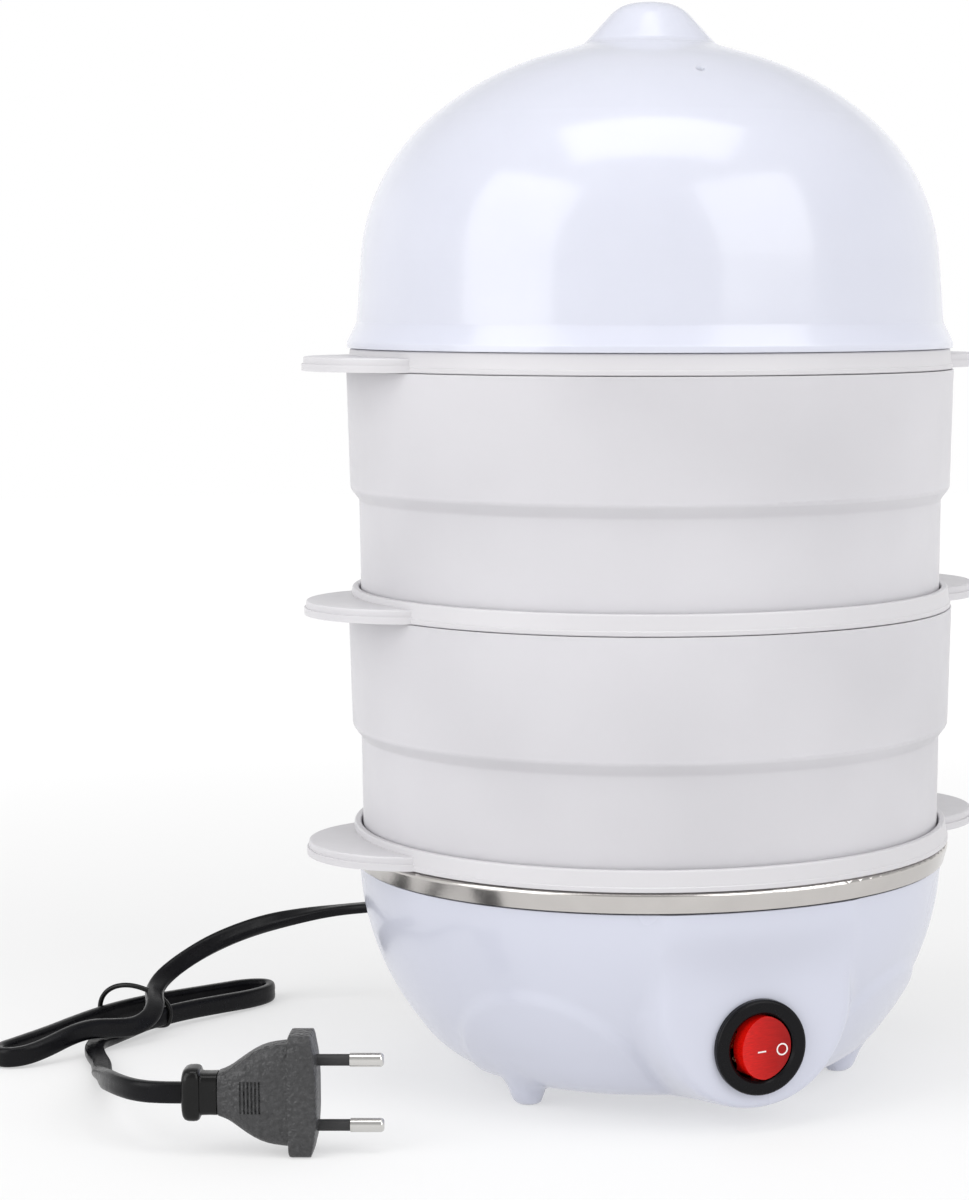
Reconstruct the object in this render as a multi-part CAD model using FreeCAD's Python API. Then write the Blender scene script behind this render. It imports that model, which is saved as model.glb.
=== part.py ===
"""Three-tray electric egg boiler, built as an assembly of separate pieces.

Millimetres. Z points up from the surface it stands on, X runs through the tray ears,
and the switch faces -Y. The origin is the middle of the base, on that surface.
"""
import FreeCAD, Part
import math
import os

# Shared clearances and overruns
SEAT_GAP = 0.2
RUNNING_GAP = 0.08
TOUCH_GAP = 0.05
OVERRUN = 4.0
WELD = 0.4
TOLERANCE = 0.001
ARC_SHARE = 0.45

# The round stack: every ring takes its radius from this one
STACK_RADIUS = 84.0

# Base housing
BOWL_TOP_INSET = 2.0
BOWL_TOP_RADIUS = STACK_RADIUS - BOWL_TOP_INSET
BOWL_SHOULDER_INSET = 2.1
BOWL_SHOULDER_RADIUS = BOWL_TOP_RADIUS - BOWL_SHOULDER_INSET
BOWL_SHOULDER_Z = 35.6
BOWL_HEEL_INSET = 25.8
BOWL_HEEL_RADIUS = BOWL_TOP_RADIUS - BOWL_HEEL_INSET
BOWL_BOTTOM_Z = 3.0
BOWL_BELLY_CURVE = 75.0
BOWL_HEEL_CURVE = 30.0
BOWL_TOP_Z = 60.4
BOWL_WALL = 2.2
LIP_INSET = 0.5
LIP_RADIUS = BOWL_TOP_RADIUS - LIP_INSET
LIP_HEIGHT = 0.7
PAD_RISE = 1.1
PAD_HALF_WIDTH = 33.0
PAD_HALF_HEIGHT = 29.0
PAD_CENTRE_Z = 8.0
PAD_ANGLE = 47.0

# Feet and the towers that the fixing screws pass
FOOT_CIRCLE_INSET = 2.2
FOOT_CIRCLE_RADIUS = BOWL_HEEL_RADIUS - FOOT_CIRCLE_INSET
FOOT_ANGLE = 60.0
FOOT_RADIUS = 4.7
LEG_TOP_RADIUS = 8.0
LEG_TOP_OUTSET = 10.0
LEG_TOP_Z = 26.0
TOWER_RADIUS = 4.4
TOWER_TOP_Z = 41.2
COUNTERBORE_RADIUS = 3.1
SCREW_SEAT_Z = 26.4
SCREW_HOLE_RADIUS = 1.8

# Switch boss on the front
BOSS_RADIUS = 26.3
BOSS_Z = 33.0
BOSS_FACE_INSET = 3.9
BOSS_FACE_Y = BOSS_FACE_INSET - BOWL_SHOULDER_RADIUS
BOSS_EDGE_ROUND = 1.6

# Heating pan
PAN_FLOOR_Z = 46.2
PAN_INSET = 6.6
PAN_RADIUS = BOWL_TOP_RADIUS - PAN_INSET
PAN_SHELF_Z = 62.6
PAN_MOUTH_INSET = 0.2
PAN_MOUTH_RADIUS = BOWL_TOP_RADIUS - PAN_MOUTH_INSET
PAN_RIM_Z = 66.2
PAN_RIM_OUTSET = 2.3
PAN_RIM_RADIUS = BOWL_TOP_RADIUS + PAN_RIM_OUTSET
PAN_SKIRT_OUTSET = 0.9
PAN_SKIRT_RADIUS = BOWL_TOP_RADIUS + PAN_SKIRT_OUTSET
PAN_SKIRT_Z = 60.8
PAN_SHEET = 0.6
PAN_FLOOR_CURVE = 5.0
PAN_SHELF_CURVE = 1.2
PAN_MOUTH_CURVE = 0.6
PAN_RIM_CURVE = 1.1
SEAL_WIDTH = 1.5

# Egg trays
TRAY_PITCH = 65.8
TRAY_RIM_RADIUS = STACK_RADIUS
TRAY_RIM_TOP_INSET = 0.8
TRAY_RIM_TOP_RADIUS = TRAY_RIM_RADIUS - TRAY_RIM_TOP_INSET
TRAY_RIM_WALL = 2.6
TRAY_RIM_INNER_RADIUS = TRAY_RIM_RADIUS - TRAY_RIM_WALL
TRAY_RIM_HEIGHT = 5.6
TRAY_LIP_HEIGHT = 1.2
TRAY_LIP_STEP = 0.25
TRAY_RIM_ROUND = 0.5
TRAY_PLATE = 1.8
SPIGOT_INSET = 0.2
SPIGOT_RADIUS = TRAY_RIM_INNER_RADIUS - SPIGOT_INSET
SPIGOT_WALL = 1.5
SPIGOT_HEIGHT = 3.2
EAR_RADIUS = 30.0
EAR_INSET = 15.0
EAR_CENTRE_X = TRAY_RIM_RADIUS - EAR_INSET
EAR_THICKNESS = 3.8
EAR_STEP = 0.5
SEAT_COUNT = 6
SEAT_RING_RADIUS = 48.0
SEAT_RADIUS = 18.0
SEAT_HOLE_RADIUS = 14.0
SEAT_DEPTH = 5.0
SEAT_WALL = 1.6
STEAM_HOLE_RADIUS = 2.5
INNER_STEAM_RADIUS = 28.0
OUTER_STEAM_INSET = 9.9
OUTER_STEAM_RADIUS = TRAY_RIM_INNER_RADIUS - OUTER_STEAM_INSET
OUTER_STEAM_COUNT = 12

# Tier rings
TIER_FOOT_INSET = 0.6
TIER_FOOT_RADIUS = TRAY_RIM_INNER_RADIUS - TIER_FOOT_INSET
TIER_WAIST_OUTSET = 0.3
TIER_WAIST_RADIUS = TIER_FOOT_RADIUS + TIER_WAIST_OUTSET
TIER_STEP_OUTSET = 2.4
TIER_STEP_RADIUS = TIER_WAIST_RADIUS + TIER_STEP_OUTSET
TIER_MOUTH_OUTSET = 0.3
TIER_MOUTH_RADIUS = STACK_RADIUS + TIER_MOUTH_OUTSET
TIER_WAIST_HEIGHT = 27.8
TIER_STEP_HEIGHT = 31.0
TIER_STEP_CURVE = 2.2
TIER_WAIST_CURVE = 1.4
TIER_WALL = 1.6

# Lid dome
LID_COLLAR_RADIUS = STACK_RADIUS
LID_COLLAR_HEIGHT = 1.6
LID_COLLAR_WALL = 2.6
LID_WALL_RADIUS = LID_COLLAR_RADIUS - LID_COLLAR_WALL
LID_COVE_HEIGHT = 6.9
LID_SHOULDER_INSET = 3.1
LID_SHOULDER_RADIUS = LID_WALL_RADIUS - LID_SHOULDER_INSET
LID_SHOULDER_HEIGHT = 47.4
LID_CROWN_INSET = 31.4
LID_CROWN_RADIUS = LID_SHOULDER_RADIUS - LID_CROWN_INSET
LID_CROWN_HEIGHT = 74.6
KNOB_ROOT_RADIUS = 18.4
KNOB_ROOT_HEIGHT = 82.9
KNOB_TOP_RADIUS = 7.9
LID_HEIGHT = 94.3
LID_WALL = 1.8
LID_COLLAR_CURVE = 1.0
LID_COVE_CURVE = 1.3
LID_SHOULDER_CURVE = 55.0
LID_CROWN_CURVE = 86.0
KNOB_ROOT_CURVE = 5.0
KNOB_TOP_CURVE = 10.5
VENT_RADIUS = 1.2
VENT_CIRCLE_RADIUS = 45.0
VENT_ANGLE = -95.0

# Heater under the pan
PLATE_RADIUS = 48.0
PLATE_THICKNESS = 2.0
ELEMENT_RING_RADIUS = 38.0
ELEMENT_RADIUS = 3.3
ELEMENT_GAP_ANGLE = 46.0
ELEMENT_BEND_RADIUS = 8.0
ELEMENT_LEG = 4.0
END_SEAL_LENGTH = 3.0
END_SEAL_RADIUS = 2.6
TERMINAL_PIN_RADIUS = 1.2
TERMINAL_PIN_LENGTH = 6.0
WELD_NUT_FLATS = 7.0
WELD_NUT_HEIGHT = 4.0
SCREW_RADIUS = 1.5
SCREW_HEAD_RADIUS = 2.75
SCREW_HEAD_HEIGHT = 2.2
DRIVE_SLOT_WIDTH = 0.8
DRIVE_SLOT_DEPTH = 1.0

# Thermostat and thermal fuse
THERMOSTAT_CAP_RADIUS = 8.0
THERMOSTAT_CAP_HEIGHT = 5.0
THERMOSTAT_BODY_RADIUS = 7.0
THERMOSTAT_BODY_HEIGHT = 5.0
BRACKET_THICKNESS = 0.8
BRACKET_LENGTH = 32.0
BRACKET_WIDTH = 10.0
BRACKET_SCREW_OFFSET = 12.5
BRACKET_SCREW_RADIUS = 1.4
BRACKET_SCREW_HEAD_RADIUS = 2.6
BRACKET_SCREW_HEAD_HEIGHT = 1.6
BLADE_WIDTH = 6.3
BLADE_THICKNESS = 0.8
BLADE_LENGTH = 9.0
BLADE_INSET = 1.0
FUSE_RADIUS = 2.0
FUSE_LENGTH = 11.0
FUSE_X = -26.0
FUSE_START_Y = -8.0
FUSE_Z = 33.0

# Switch
SWITCH_Z = 23.0
BEZEL_RADIUS = 12.75
BEZEL_THICKNESS = 2.2
BEZEL_ROUND = 0.9
BEZEL_MOUTH_CHAMFER = 0.6
OPENING_RADIUS = 8.9
BARREL_RADIUS = 10.2
BARREL_LENGTH = 15.5
BARREL_BACK = 1.8
ROCKER_RADIUS = 8.5
ROCKER_TILT = 10.0
ROCKER_PIVOT_DEPTH = 4.4
ROCKER_FACE_RISE = 5.3
ROCKER_FACE_CURVE = 40.0
ROCKER_SKIRT = 1.0
ROCKER_BACK = 2.0
ROCKER_BACK_HALF_WIDTH = 4.5
TRUNNION_RADIUS = 1.0
TRUNNION_REACH = 0.85
PLUNGER_RADIUS = 1.1
PLUNGER_LENGTH = 2.6
LEVER_LENGTH = 11.0
LEVER_HEIGHT = 4.0
LEVER_THICKNESS = 0.8
LEVER_GAP = 0.6
LEVER_RATIO_SHARE = 0.6
LAMP_RADIUS = 1.5
LAMP_LENGTH = 5.2
LAMP_DROP = 6.4
SWITCH_BLADE_OFFSET = 5.2
SWITCH_BLADE_WIDTH = 4.8

# Cord bushing and clamp, along a direction that leaves the back to the left
CORD_ANGLE = 116.0
CORD_Z = 30.0
CORD_TUBE_RADIUS = 2.1
GLAND_BOSS_RADIUS = 8.5
GLAND_BOSS_DEPTH = 11.2
GLAND_BOSS_INSET = 2.7
BUSHING_NECK_RADIUS = 5.0
BUSHING_FLANGE_RADIUS = 7.2
BUSHING_FLANGE = 2.0
BUSHING_INNER_STEP = 0.4
BUSHING_INNER_FLANGE = 1.8
BUSHING_INNER_RADIUS = 6.4
BUSHING_TAIL_RADIUS = 5.2
BUSHING_TIP_RADIUS = 3.4
BUSHING_REACH = 20.82
BOOT_RIB_COUNT = 4
BOOT_RIB_WIDTH = 1.5
BOOT_RIB_DEPTH = 0.8
CLAMP_SETBACK = 19.2
CLAMP_LENGTH = 16.0
CLAMP_WIDTH = 4.4
CLAMP_THICKNESS = 2.2
CLAMP_SCREW_OFFSET = 5.4
CLAMP_POST_RADIUS = 2.2
CLAMP_SCREW_RADIUS = 1.0
CLAMP_SCREW_HEAD_RADIUS = 2.0
CLAMP_SCREW_HEAD_HEIGHT = 1.4
CLAMP_SCREW_LENGTH = 8.0
SHEATH_SETBACK = 28.2
FIRST_BEND = 7.0

# Internal wires and their push-on connectors
WIRE_RADIUS = 0.9
CONNECTOR_LENGTH = 6.0
CONNECTOR_WIDTH = 7.2
CONNECTOR_THICKNESS = 2.4
SMALL_CONNECTOR_WIDTH = 5.8

# Middle points of the internal wires, as shares of the plate's radius, twice, and of its height
LIVE_WIRE_SHARES = [
    (-0.52, 0.56, 0.55), (-0.63, 0.25, 0.39), (-0.67, -0.12, 0.31), (-0.63, -0.46, 0.31),
    (-0.50, -0.73, 0.34), (-0.28, -0.91, 0.43),
]
NEUTRAL_WIRE_SHARES = [
    (-0.20, 0.54, 0.55), (0.08, 0.29, 0.38), (0.30, -0.08, 0.30), (0.35, -0.44, 0.26),
    (0.29, -0.69, 0.24), (0.18, -0.79, 0.26),
]
SWITCH_WIRE_SHARES = [
    (0.24, -0.90, 0.48), (0.41, -0.74, 0.44), (0.53, -0.48, 0.45), (0.57, -0.23, 0.55),
    (0.56, -0.06, 0.71),
]
FUSE_WIRE_SHARES = [
    (-0.52, -0.54, 0.74), (-0.45, -0.65, 0.56), (-0.34, -0.73, 0.38), (-0.24, -0.78, 0.27),
]

# Power cord route, chosen by hand: the lead, the tied hank and the tail to the plug
LEAD_POINTS = [
    (-43.0, 88.1, 30.0), (-47.8, 98.0, 30.0), (-56.5, 106.0, 28.4), (-69.0, 111.6, 26.6),
    (-84.0, 112.8, 24.4), (-98.0, 111.0, 20.9), (-109.0, 108.7, 16.4), (-117.0, 104.9, 12.3),
]
HANK_POINTS = [
    (-121.2, 98.2, 10.2), (-122.9, 91.0, 9.7), (-124.0, 84.2, 8.8), (-127.0, 78.6, 6.6),
    (-132.6, 74.4, 5.3), (-139.6, 71.5, 6.4), (-146.2, 68.4, 7.6), (-152.6, 65.4, 7.1),
    (-160.2, 62.5, 4.8), (-167.0, 60.6, 3.4), (-173.0, 62.6, 3.0), (-173.4, 68.4, 3.0),
    (-166.3, 74.2, 3.0), (-156.0, 82.7, 3.1), (-145.1, 92.0, 3.6), (-133.1, 100.3, 4.1),
    (-120.0, 106.6, 4.1), (-106.9, 111.7, 3.7), (-96.4, 116.5, 3.2), (-88.0, 119.6, 3.0),
    (-81.2, 117.4, 3.0), (-82.0, 110.2, 3.0), (-89.5, 104.4, 3.1), (-101.7, 98.6, 3.7),
    (-114.9, 92.6, 4.1), (-126.9, 86.3, 3.7), (-135.3, 79.7, 2.9),
]
TAIL_POINTS = [
    (-142.5, 74.1, 2.4), (-146.2, 66.3, 2.3), (-147.4, 56.4, 2.5), (-148.0, 45.6, 3.0),
    (-150.0, 35.2, 4.0), (-151.8, 24.8, 5.8), (-154.2, 14.6, 8.1), (-156.4, 4.6, 10.6),
    (-157.8, -5.4, 12.9), (-158.2, -15.0, 14.7), (-157.3, -23.6, 15.5), (-154.7, -30.7, 15.75),
    (-149.99, -35.29, 15.8), (-143.96, -37.73, 15.8),
]

# Cord tie
TIE_CENTRE_X = -127.1
TIE_CENTRE_Y = 94.8
TIE_ANGLE = -37.6
TIE_HALF_WIDTH = 12.2
TIE_BOTTOM_Z = 0.05
TIE_TOP_Z = 13.4
TIE_BAND = 0.8
TIE_WIDTH = 1.6
TIE_CORNER = 4.0

# Europlug
PLUG_X = -111.6
PLUG_Y = -50.8
PLUG_ANGLE = -22.0
PLUG_FLANGE_HEIGHT = 31.6
PLUG_FLANGE_WIDTH = 12.4
PLUG_FLANGE_LENGTH = 7.4
PLUG_FLANGE_CORNER = 3.0
PLUG_LENGTH = 25.6
PLUG_NECK_LENGTH = 5.0
PLUG_COLLAR_LENGTH = 4.2
PLUG_SHOULDER_HEIGHT = 26.4
PLUG_SHOULDER_WIDTH = 11.2
PLUG_NECK_HEIGHT = 11.0
PLUG_NECK_WIDTH = 8.0
PLUG_COLLAR_HEIGHT = 13.8
PLUG_COLLAR_WIDTH = 9.6
PLUG_BODY_CORNER = 2.8
GRIP_RIB_COUNT = 6
GRIP_RIB_PITCH = 1.0
GRIP_RIB_WIDTH = 0.5
GRIP_RIB_HEIGHT = 8.4
GRIP_RIB_RISE = 0.35
GRIP_RIB_START = 16.8
PIN_SPACING = 17.0
PIN_RADIUS = 1.8
PIN_LENGTH = 16.6
PIN_SLEEVE_RADIUS = 1.5
PIN_SLEEVE_LENGTH = 8.0
PIN_ROOT = 4.0

# Sizes that follow from those above
TRAY_Z = PAN_RIM_Z + SEAT_GAP
TIER_HEIGHT = TRAY_PITCH - TRAY_PLATE - 2 * SEAT_GAP
LID_Z = TRAY_Z + 2 * TRAY_PITCH + TRAY_RIM_HEIGHT + SEAT_GAP
PLATE_TOP_Z = PAN_FLOOR_Z - PAN_SHEET - TOUCH_GAP
PLATE_BOTTOM_Z = PLATE_TOP_Z - PLATE_THICKNESS
ELEMENT_Z = PLATE_BOTTOM_Z - TOUCH_GAP - ELEMENT_RADIUS
PIVOT_Y = BOSS_FACE_Y + ROCKER_PIVOT_DEPTH - BEZEL_THICKNESS
BARREL_BACK_Y = BOSS_FACE_Y + BARREL_LENGTH
PLUG_Z = PLUG_FLANGE_HEIGHT / 2
GLAND_BOSS_FACE = BOWL_SHOULDER_RADIUS - GLAND_BOSS_INSET
GLAND_BOSS_START = GLAND_BOSS_FACE - GLAND_BOSS_DEPTH
BUSHING_INNER_FACE = GLAND_BOSS_START - BUSHING_INNER_STEP
BUSHING_TIP = GLAND_BOSS_FACE + BUSHING_REACH
CLAMP_POSITION = GLAND_BOSS_FACE - CLAMP_SETBACK
SHEATH_END = GLAND_BOSS_FACE - SHEATH_SETBACK

X_AXIS = FreeCAD.Vector(1, 0, 0)
Y_AXIS = FreeCAD.Vector(0, 1, 0)
Z_AXIS = FreeCAD.Vector(0, 0, 1)
ORIGIN = FreeCAD.Vector(0, 0, 0)


def vec(x, y, z):
    """Short name for a vector."""
    return FreeCAD.Vector(x, y, z)


def polar(radius, angle, z):
    """Point at a radius and an angle in degrees round the vertical axis."""
    turn = math.radians(angle)
    return vec(radius * math.cos(turn), radius * math.sin(turn), z)


def cylinder(radius, height, base, direction=Z_AXIS):
    """Solid cylinder from its base point along a direction."""
    return Part.makeCylinder(radius, height, base, direction)


def cone(radius, tip_radius, height, base, direction=Z_AXIS):
    """Solid frustum from its base point along a direction."""
    return Part.makeCone(radius, tip_radius, height, base, direction)


def block(size_x, size_y, size_z, centre):
    """Box about its centre."""
    corner = centre - vec(size_x / 2, size_y / 2, size_z / 2)
    return Part.makeBox(size_x, size_y, size_z, corner)


def turned(shape, angle, centre=ORIGIN, axis=Z_AXIS):
    """Copy of a shape turned about an axis."""
    copy = shape.copy()
    copy.rotate(centre, axis, angle)
    return copy


def moved(shape, offset):
    """Copy of a shape moved by an offset."""
    copy = shape.copy()
    copy.translate(offset)
    return copy


def unit(vector):
    """Copy of a vector with a length of one."""
    copy = FreeCAD.Vector(vector)
    copy.normalize()
    return copy


# Outlines in the plane of radius and height

def offset_path(path, distance):
    """Open path of (radius, z, corner curve) moved to its left by a distance."""
    result = []
    last = len(path) - 1
    for index, (r, z, curve) in enumerate(path):
        here = vec(r, 0, z)
        if index > 0:
            before = unit(here - vec(path[index - 1][0], 0, path[index - 1][1]))
        if index < last:
            after = unit(vec(path[index + 1][0], 0, path[index + 1][1]) - here)
        if index == 0:
            before = after
        if index == last:
            after = before
        left_before = vec(-before.z, 0, before.x)
        left_after = vec(-after.z, 0, after.x)
        bisector = unit(left_before + left_after)
        place = here + bisector * (distance / bisector.dot(left_before))
        turns_left = before.x * after.z - before.z * after.x > 0
        new_curve = curve - distance if turns_left else curve + distance
        result.append((place.x, place.z, max(new_curve, 0) if curve > 0 else 0))
    return result


def rounded_edges(path, closed):
    """Lines and arcs along points (radius, z, corner curve)."""
    count = len(path)
    starts = []
    ends = []
    arcs = []
    for index, (r, z, curve) in enumerate(path):
        here = vec(r, 0, z)
        at_end = not closed and index in (0, count - 1)
        if curve <= 0 or at_end:
            starts.append(here)
            ends.append(here)
            arcs.append(None)
            continue
        before = path[index - 1]
        after = path[(index + 1) % count]
        back = unit(vec(before[0], 0, before[1]) - here)
        ahead = unit(vec(after[0], 0, after[1]) - here)
        half = back.getAngle(ahead) / 2
        cut = curve / math.tan(half)
        start = here + back * cut
        end = here + ahead * cut
        centre = here + unit(back + ahead) * (curve / math.sin(half))
        middle = centre + unit(here - centre) * curve
        starts.append(start)
        ends.append(end)
        arcs.append(Part.Arc(start, middle, end).toShape())
    edges = []
    for index in range(count):
        if arcs[index] is not None:
            edges.append(arcs[index])
        if index == count - 1 and not closed:
            break
        target = starts[(index + 1) % count]
        if (target - ends[index]).Length > TOLERANCE:
            edges.append(Part.LineSegment(ends[index], target).toShape())
    return edges


def revolved(edges):
    """Solid turned from a closed loop of edges."""
    face = Part.Face(Part.Wire(Part.__sortEdges__(edges)))
    return face.revolve(ORIGIN, Z_AXIS, 360)


def revolved_outline(points):
    """Solid turned from a closed outline of (radius, z, corner curve)."""
    return revolved(rounded_edges(points, True))


def shell_from_path(path, wall):
    """Thin turned wall: the path is one face, the other lies to its left (or right, if negative)."""
    other = offset_path(path, wall)
    if path[0][0] == 0:
        other[0] = (0, other[0][1], 0)
    if path[-1][0] == 0:
        other[-1] = (0, other[-1][1], 0)
    else:
        other[-1] = (other[-1][0], path[-1][1], 0)
    near = rounded_edges(path, False)
    far = rounded_edges(other, False)
    cap_start = Part.LineSegment(vec(path[0][0], 0, path[0][1]), vec(other[0][0], 0, other[0][1]))
    cap_end = Part.LineSegment(vec(path[-1][0], 0, path[-1][1]), vec(other[-1][0], 0, other[-1][1]))
    return revolved(near + far + [cap_start.toShape(), cap_end.toShape()])


def solid_under_path(path):
    """Solid turned from a path that starts on the axis, closed across its top."""
    top = path[-1]
    edges = rounded_edges(path, False)
    edges.append(Part.LineSegment(vec(top[0], 0, top[1]), vec(0, 0, top[1])).toShape())
    edges.append(Part.LineSegment(vec(0, 0, top[1]), vec(0, 0, path[0][1])).toShape())
    return revolved(edges)


def rounded_box_wire(height, width, corner, x):
    """Rounded rectangle in a plane across X: height along Z, width along Y."""
    half_h = height / 2
    half_w = width / 2
    bulge = corner * (1 - math.sqrt(0.5))
    corners = [(1, 1), (-1, 1), (-1, -1), (1, -1)]
    edges = []
    previous = None
    first = None
    for side_w, side_h in corners:
        swap = side_w * side_h
        across = vec(x, side_w * (half_w - corner), side_h * half_h)
        along = vec(x, side_w * half_w, side_h * (half_h - corner))
        middle = vec(x, side_w * (half_w - bulge), side_h * (half_h - bulge))
        start, end = (along, across) if swap > 0 else (across, along)
        if previous is not None:
            edges.append(Part.LineSegment(previous, start).toShape())
        if first is None:
            first = start
        edges.append(Part.Arc(start, middle, end).toShape())
        previous = end
    edges.append(Part.LineSegment(previous, first).toShape())
    return Part.Wire(edges)


# Base housing

def bowl_path():
    """Outer outline of the bowl, from its bottom centre to its top edge."""
    return [
        (0, BOWL_BOTTOM_Z, 0),
        (BOWL_HEEL_RADIUS, BOWL_BOTTOM_Z, BOWL_HEEL_CURVE),
        (BOWL_SHOULDER_RADIUS, BOWL_SHOULDER_Z, BOWL_BELLY_CURVE),
        (BOWL_TOP_RADIUS, BOWL_TOP_Z, 0),
    ]


def bowl_solid(inset, overrun=0):
    """Bowl filled up to its top edge, its outline moved inward by an inset."""
    path = offset_path(bowl_path(), inset)
    path[0] = (0, path[0][1], 0)
    top = path[-1]
    path[-1] = (top[0], BOWL_TOP_Z, 0)
    if overrun > 0:
        path.append((top[0], BOWL_TOP_Z + overrun, 0))
    return solid_under_path(path)


def foot_angles():
    """Directions of the three feet, two beside the switch and one opposite."""
    return [-90 - FOOT_ANGLE, -90 + FOOT_ANGLE, 90]


def leg(angle):
    """Peg foot that leans out and widens as it rises into the bowl."""
    radii_share = [0.0, 0.32, 1.0]
    wires = []
    for share in radii_share:
        radius = FOOT_RADIUS + (LEG_TOP_RADIUS - FOOT_RADIUS) * share
        place = polar(FOOT_CIRCLE_RADIUS + LEG_TOP_OUTSET * share, angle, LEG_TOP_Z * share)
        wires.append(Part.Wire(Part.makeCircle(radius, place, Z_AXIS)))
    return Part.makeLoft(wires, True, False)


def pad(angle):
    """Low raised petal on the bowl over a foot."""
    centre = polar(0, angle, PAD_CENTRE_Z)
    ellipse = Part.Ellipse(ORIGIN, PAD_HALF_WIDTH, PAD_HALF_HEIGHT)
    face = Part.Face(Part.Wire(ellipse.toShape()))
    prism = face.extrude(Z_AXIS * (BOWL_TOP_RADIUS + OVERRUN))
    prism.rotate(ORIGIN, X_AXIS, 90)
    prism.rotate(ORIGIN, Z_AXIS, angle + 90)
    prism.translate(centre)
    return prism.common(bowl_solid(-PAD_RISE))


def boss(inset):
    """Round flat-faced boss for the switch, or its hollow when inset."""
    length = -BOSS_FACE_Y - FOOT_CIRCLE_RADIUS
    body = cylinder(BOSS_RADIUS - inset, length - inset, vec(0, BOSS_FACE_Y + inset, BOSS_Z), Y_AXIS)
    if inset > 0:
        return body
    front = [edge for edge in body.Edges if abs(edge.CenterOfMass.y - BOSS_FACE_Y) < TOLERANCE]
    return body.makeFillet(BOSS_EDGE_ROUND, front)


def cord_direction():
    """Horizontal direction in which the cord leaves."""
    return polar(1, CORD_ANGLE, 0)


def cord_place(radius, side=0, z=CORD_Z):
    """Point along the cord direction, with an offset to its side."""
    ahead = cord_direction()
    across = vec(-ahead.y, ahead.x, 0)
    return ahead * radius + across * side + Z_AXIS * z


def clamp_seat():
    """Rib and two posts under the cord clamp."""
    floor_z = BOWL_BOTTOM_Z + BOWL_WALL / 2
    rib_top = CORD_Z - CORD_TUBE_RADIUS - TOUCH_GAP
    rib = block(CLAMP_WIDTH, CLAMP_LENGTH, rib_top - floor_z, vec(0, 0, 0))
    rib.rotate(ORIGIN, Z_AXIS, CORD_ANGLE)
    rib.translate(cord_place(CLAMP_POSITION, 0, (rib_top + floor_z) / 2))
    post_top = CORD_Z + CORD_TUBE_RADIUS - TOUCH_GAP
    parts = [rib]
    for side in (-CLAMP_SCREW_OFFSET, CLAMP_SCREW_OFFSET):
        foot = cord_place(CLAMP_POSITION, side, floor_z)
        parts.append(cylinder(CLAMP_POST_RADIUS, post_top - floor_z, foot))
    seat = parts[0]
    for part in parts[1:]:
        seat = seat.fuse(part)
    for side in (-CLAMP_SCREW_OFFSET, CLAMP_SCREW_OFFSET):
        bore_start = cord_place(CLAMP_POSITION, side, post_top - CLAMP_SCREW_LENGTH)
        seat = seat.cut(cylinder(CLAMP_SCREW_RADIUS + TOUCH_GAP, CLAMP_SCREW_LENGTH + OVERRUN, bore_start))
    return seat


def base_housing():
    """Bowl with its boss, feet, screw towers, cord boss and clamp seat."""
    outer = bowl_solid(0).fuse(boss(0))
    for angle in foot_angles():
        outer = outer.fuse(leg(angle))
    for angle in (-90 - PAD_ANGLE, -90 + PAD_ANGLE, 90):
        outer = outer.fuse(pad(angle))
    gland_length = GLAND_BOSS_FACE - GLAND_BOSS_START
    gland = cylinder(GLAND_BOSS_RADIUS, gland_length, cord_place(GLAND_BOSS_START), cord_direction())
    outer = outer.fuse(gland)
    hollow = bowl_solid(BOWL_WALL, OVERRUN).fuse(boss(BOWL_WALL))
    body = outer.cut(hollow)
    lip_inner = offset_path(bowl_path(), BOWL_WALL)[-1][0]
    lip = cylinder(LIP_RADIUS, LIP_HEIGHT + BOWL_WALL, vec(0, 0, BOWL_TOP_Z - BOWL_WALL))
    lip = lip.cut(cylinder(lip_inner, LIP_HEIGHT + 2 * OVERRUN, vec(0, 0, BOWL_TOP_Z - OVERRUN)))
    body = body.fuse(lip)
    body = body.fuse(clamp_seat())
    for angle in foot_angles():
        foot = polar(FOOT_CIRCLE_RADIUS, angle, BOWL_BOTTOM_Z)
        body = body.fuse(cylinder(TOWER_RADIUS, TOWER_TOP_Z - BOWL_BOTTOM_Z, foot))
    for angle in foot_angles():
        below = polar(FOOT_CIRCLE_RADIUS, angle, -OVERRUN)
        body = body.cut(cylinder(COUNTERBORE_RADIUS, SCREW_SEAT_Z + OVERRUN, below))
        body = body.cut(cylinder(SCREW_HOLE_RADIUS, TOWER_TOP_Z + 2 * OVERRUN, below))
    bushing_hole = BUSHING_NECK_RADIUS + TOUCH_GAP
    hole_start = cord_place(GLAND_BOSS_START - OVERRUN)
    body = body.cut(cylinder(bushing_hole, gland_length + 2 * OVERRUN, hole_start, cord_direction()))
    flange_room = BUSHING_FLANGE_RADIUS + SEAT_GAP
    body = body.cut(cylinder(flange_room, OVERRUN, cord_place(GLAND_BOSS_FACE), cord_direction()))
    hole = cylinder(BARREL_RADIUS + TOUCH_GAP, BOWL_WALL + 2 * OVERRUN,
                    vec(0, BOSS_FACE_Y - OVERRUN, SWITCH_Z), Y_AXIS)
    spotface = cylinder(BEZEL_RADIUS + SEAT_GAP, OVERRUN, vec(0, BOSS_FACE_Y - OVERRUN, SWITCH_Z), Y_AXIS)
    inner_spot = inner_spotface()
    return body.cut(hole).cut(spotface).cut(inner_spot)


def inner_spotface():
    """Room behind the boss wall for the switch barrel."""
    start = BOSS_FACE_Y + BOWL_WALL
    return cylinder(BARREL_RADIUS + TOUCH_GAP, FOOT_CIRCLE_RADIUS / 2, vec(0, start, SWITCH_Z), Y_AXIS)


# Heating pan and what hangs under it

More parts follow.
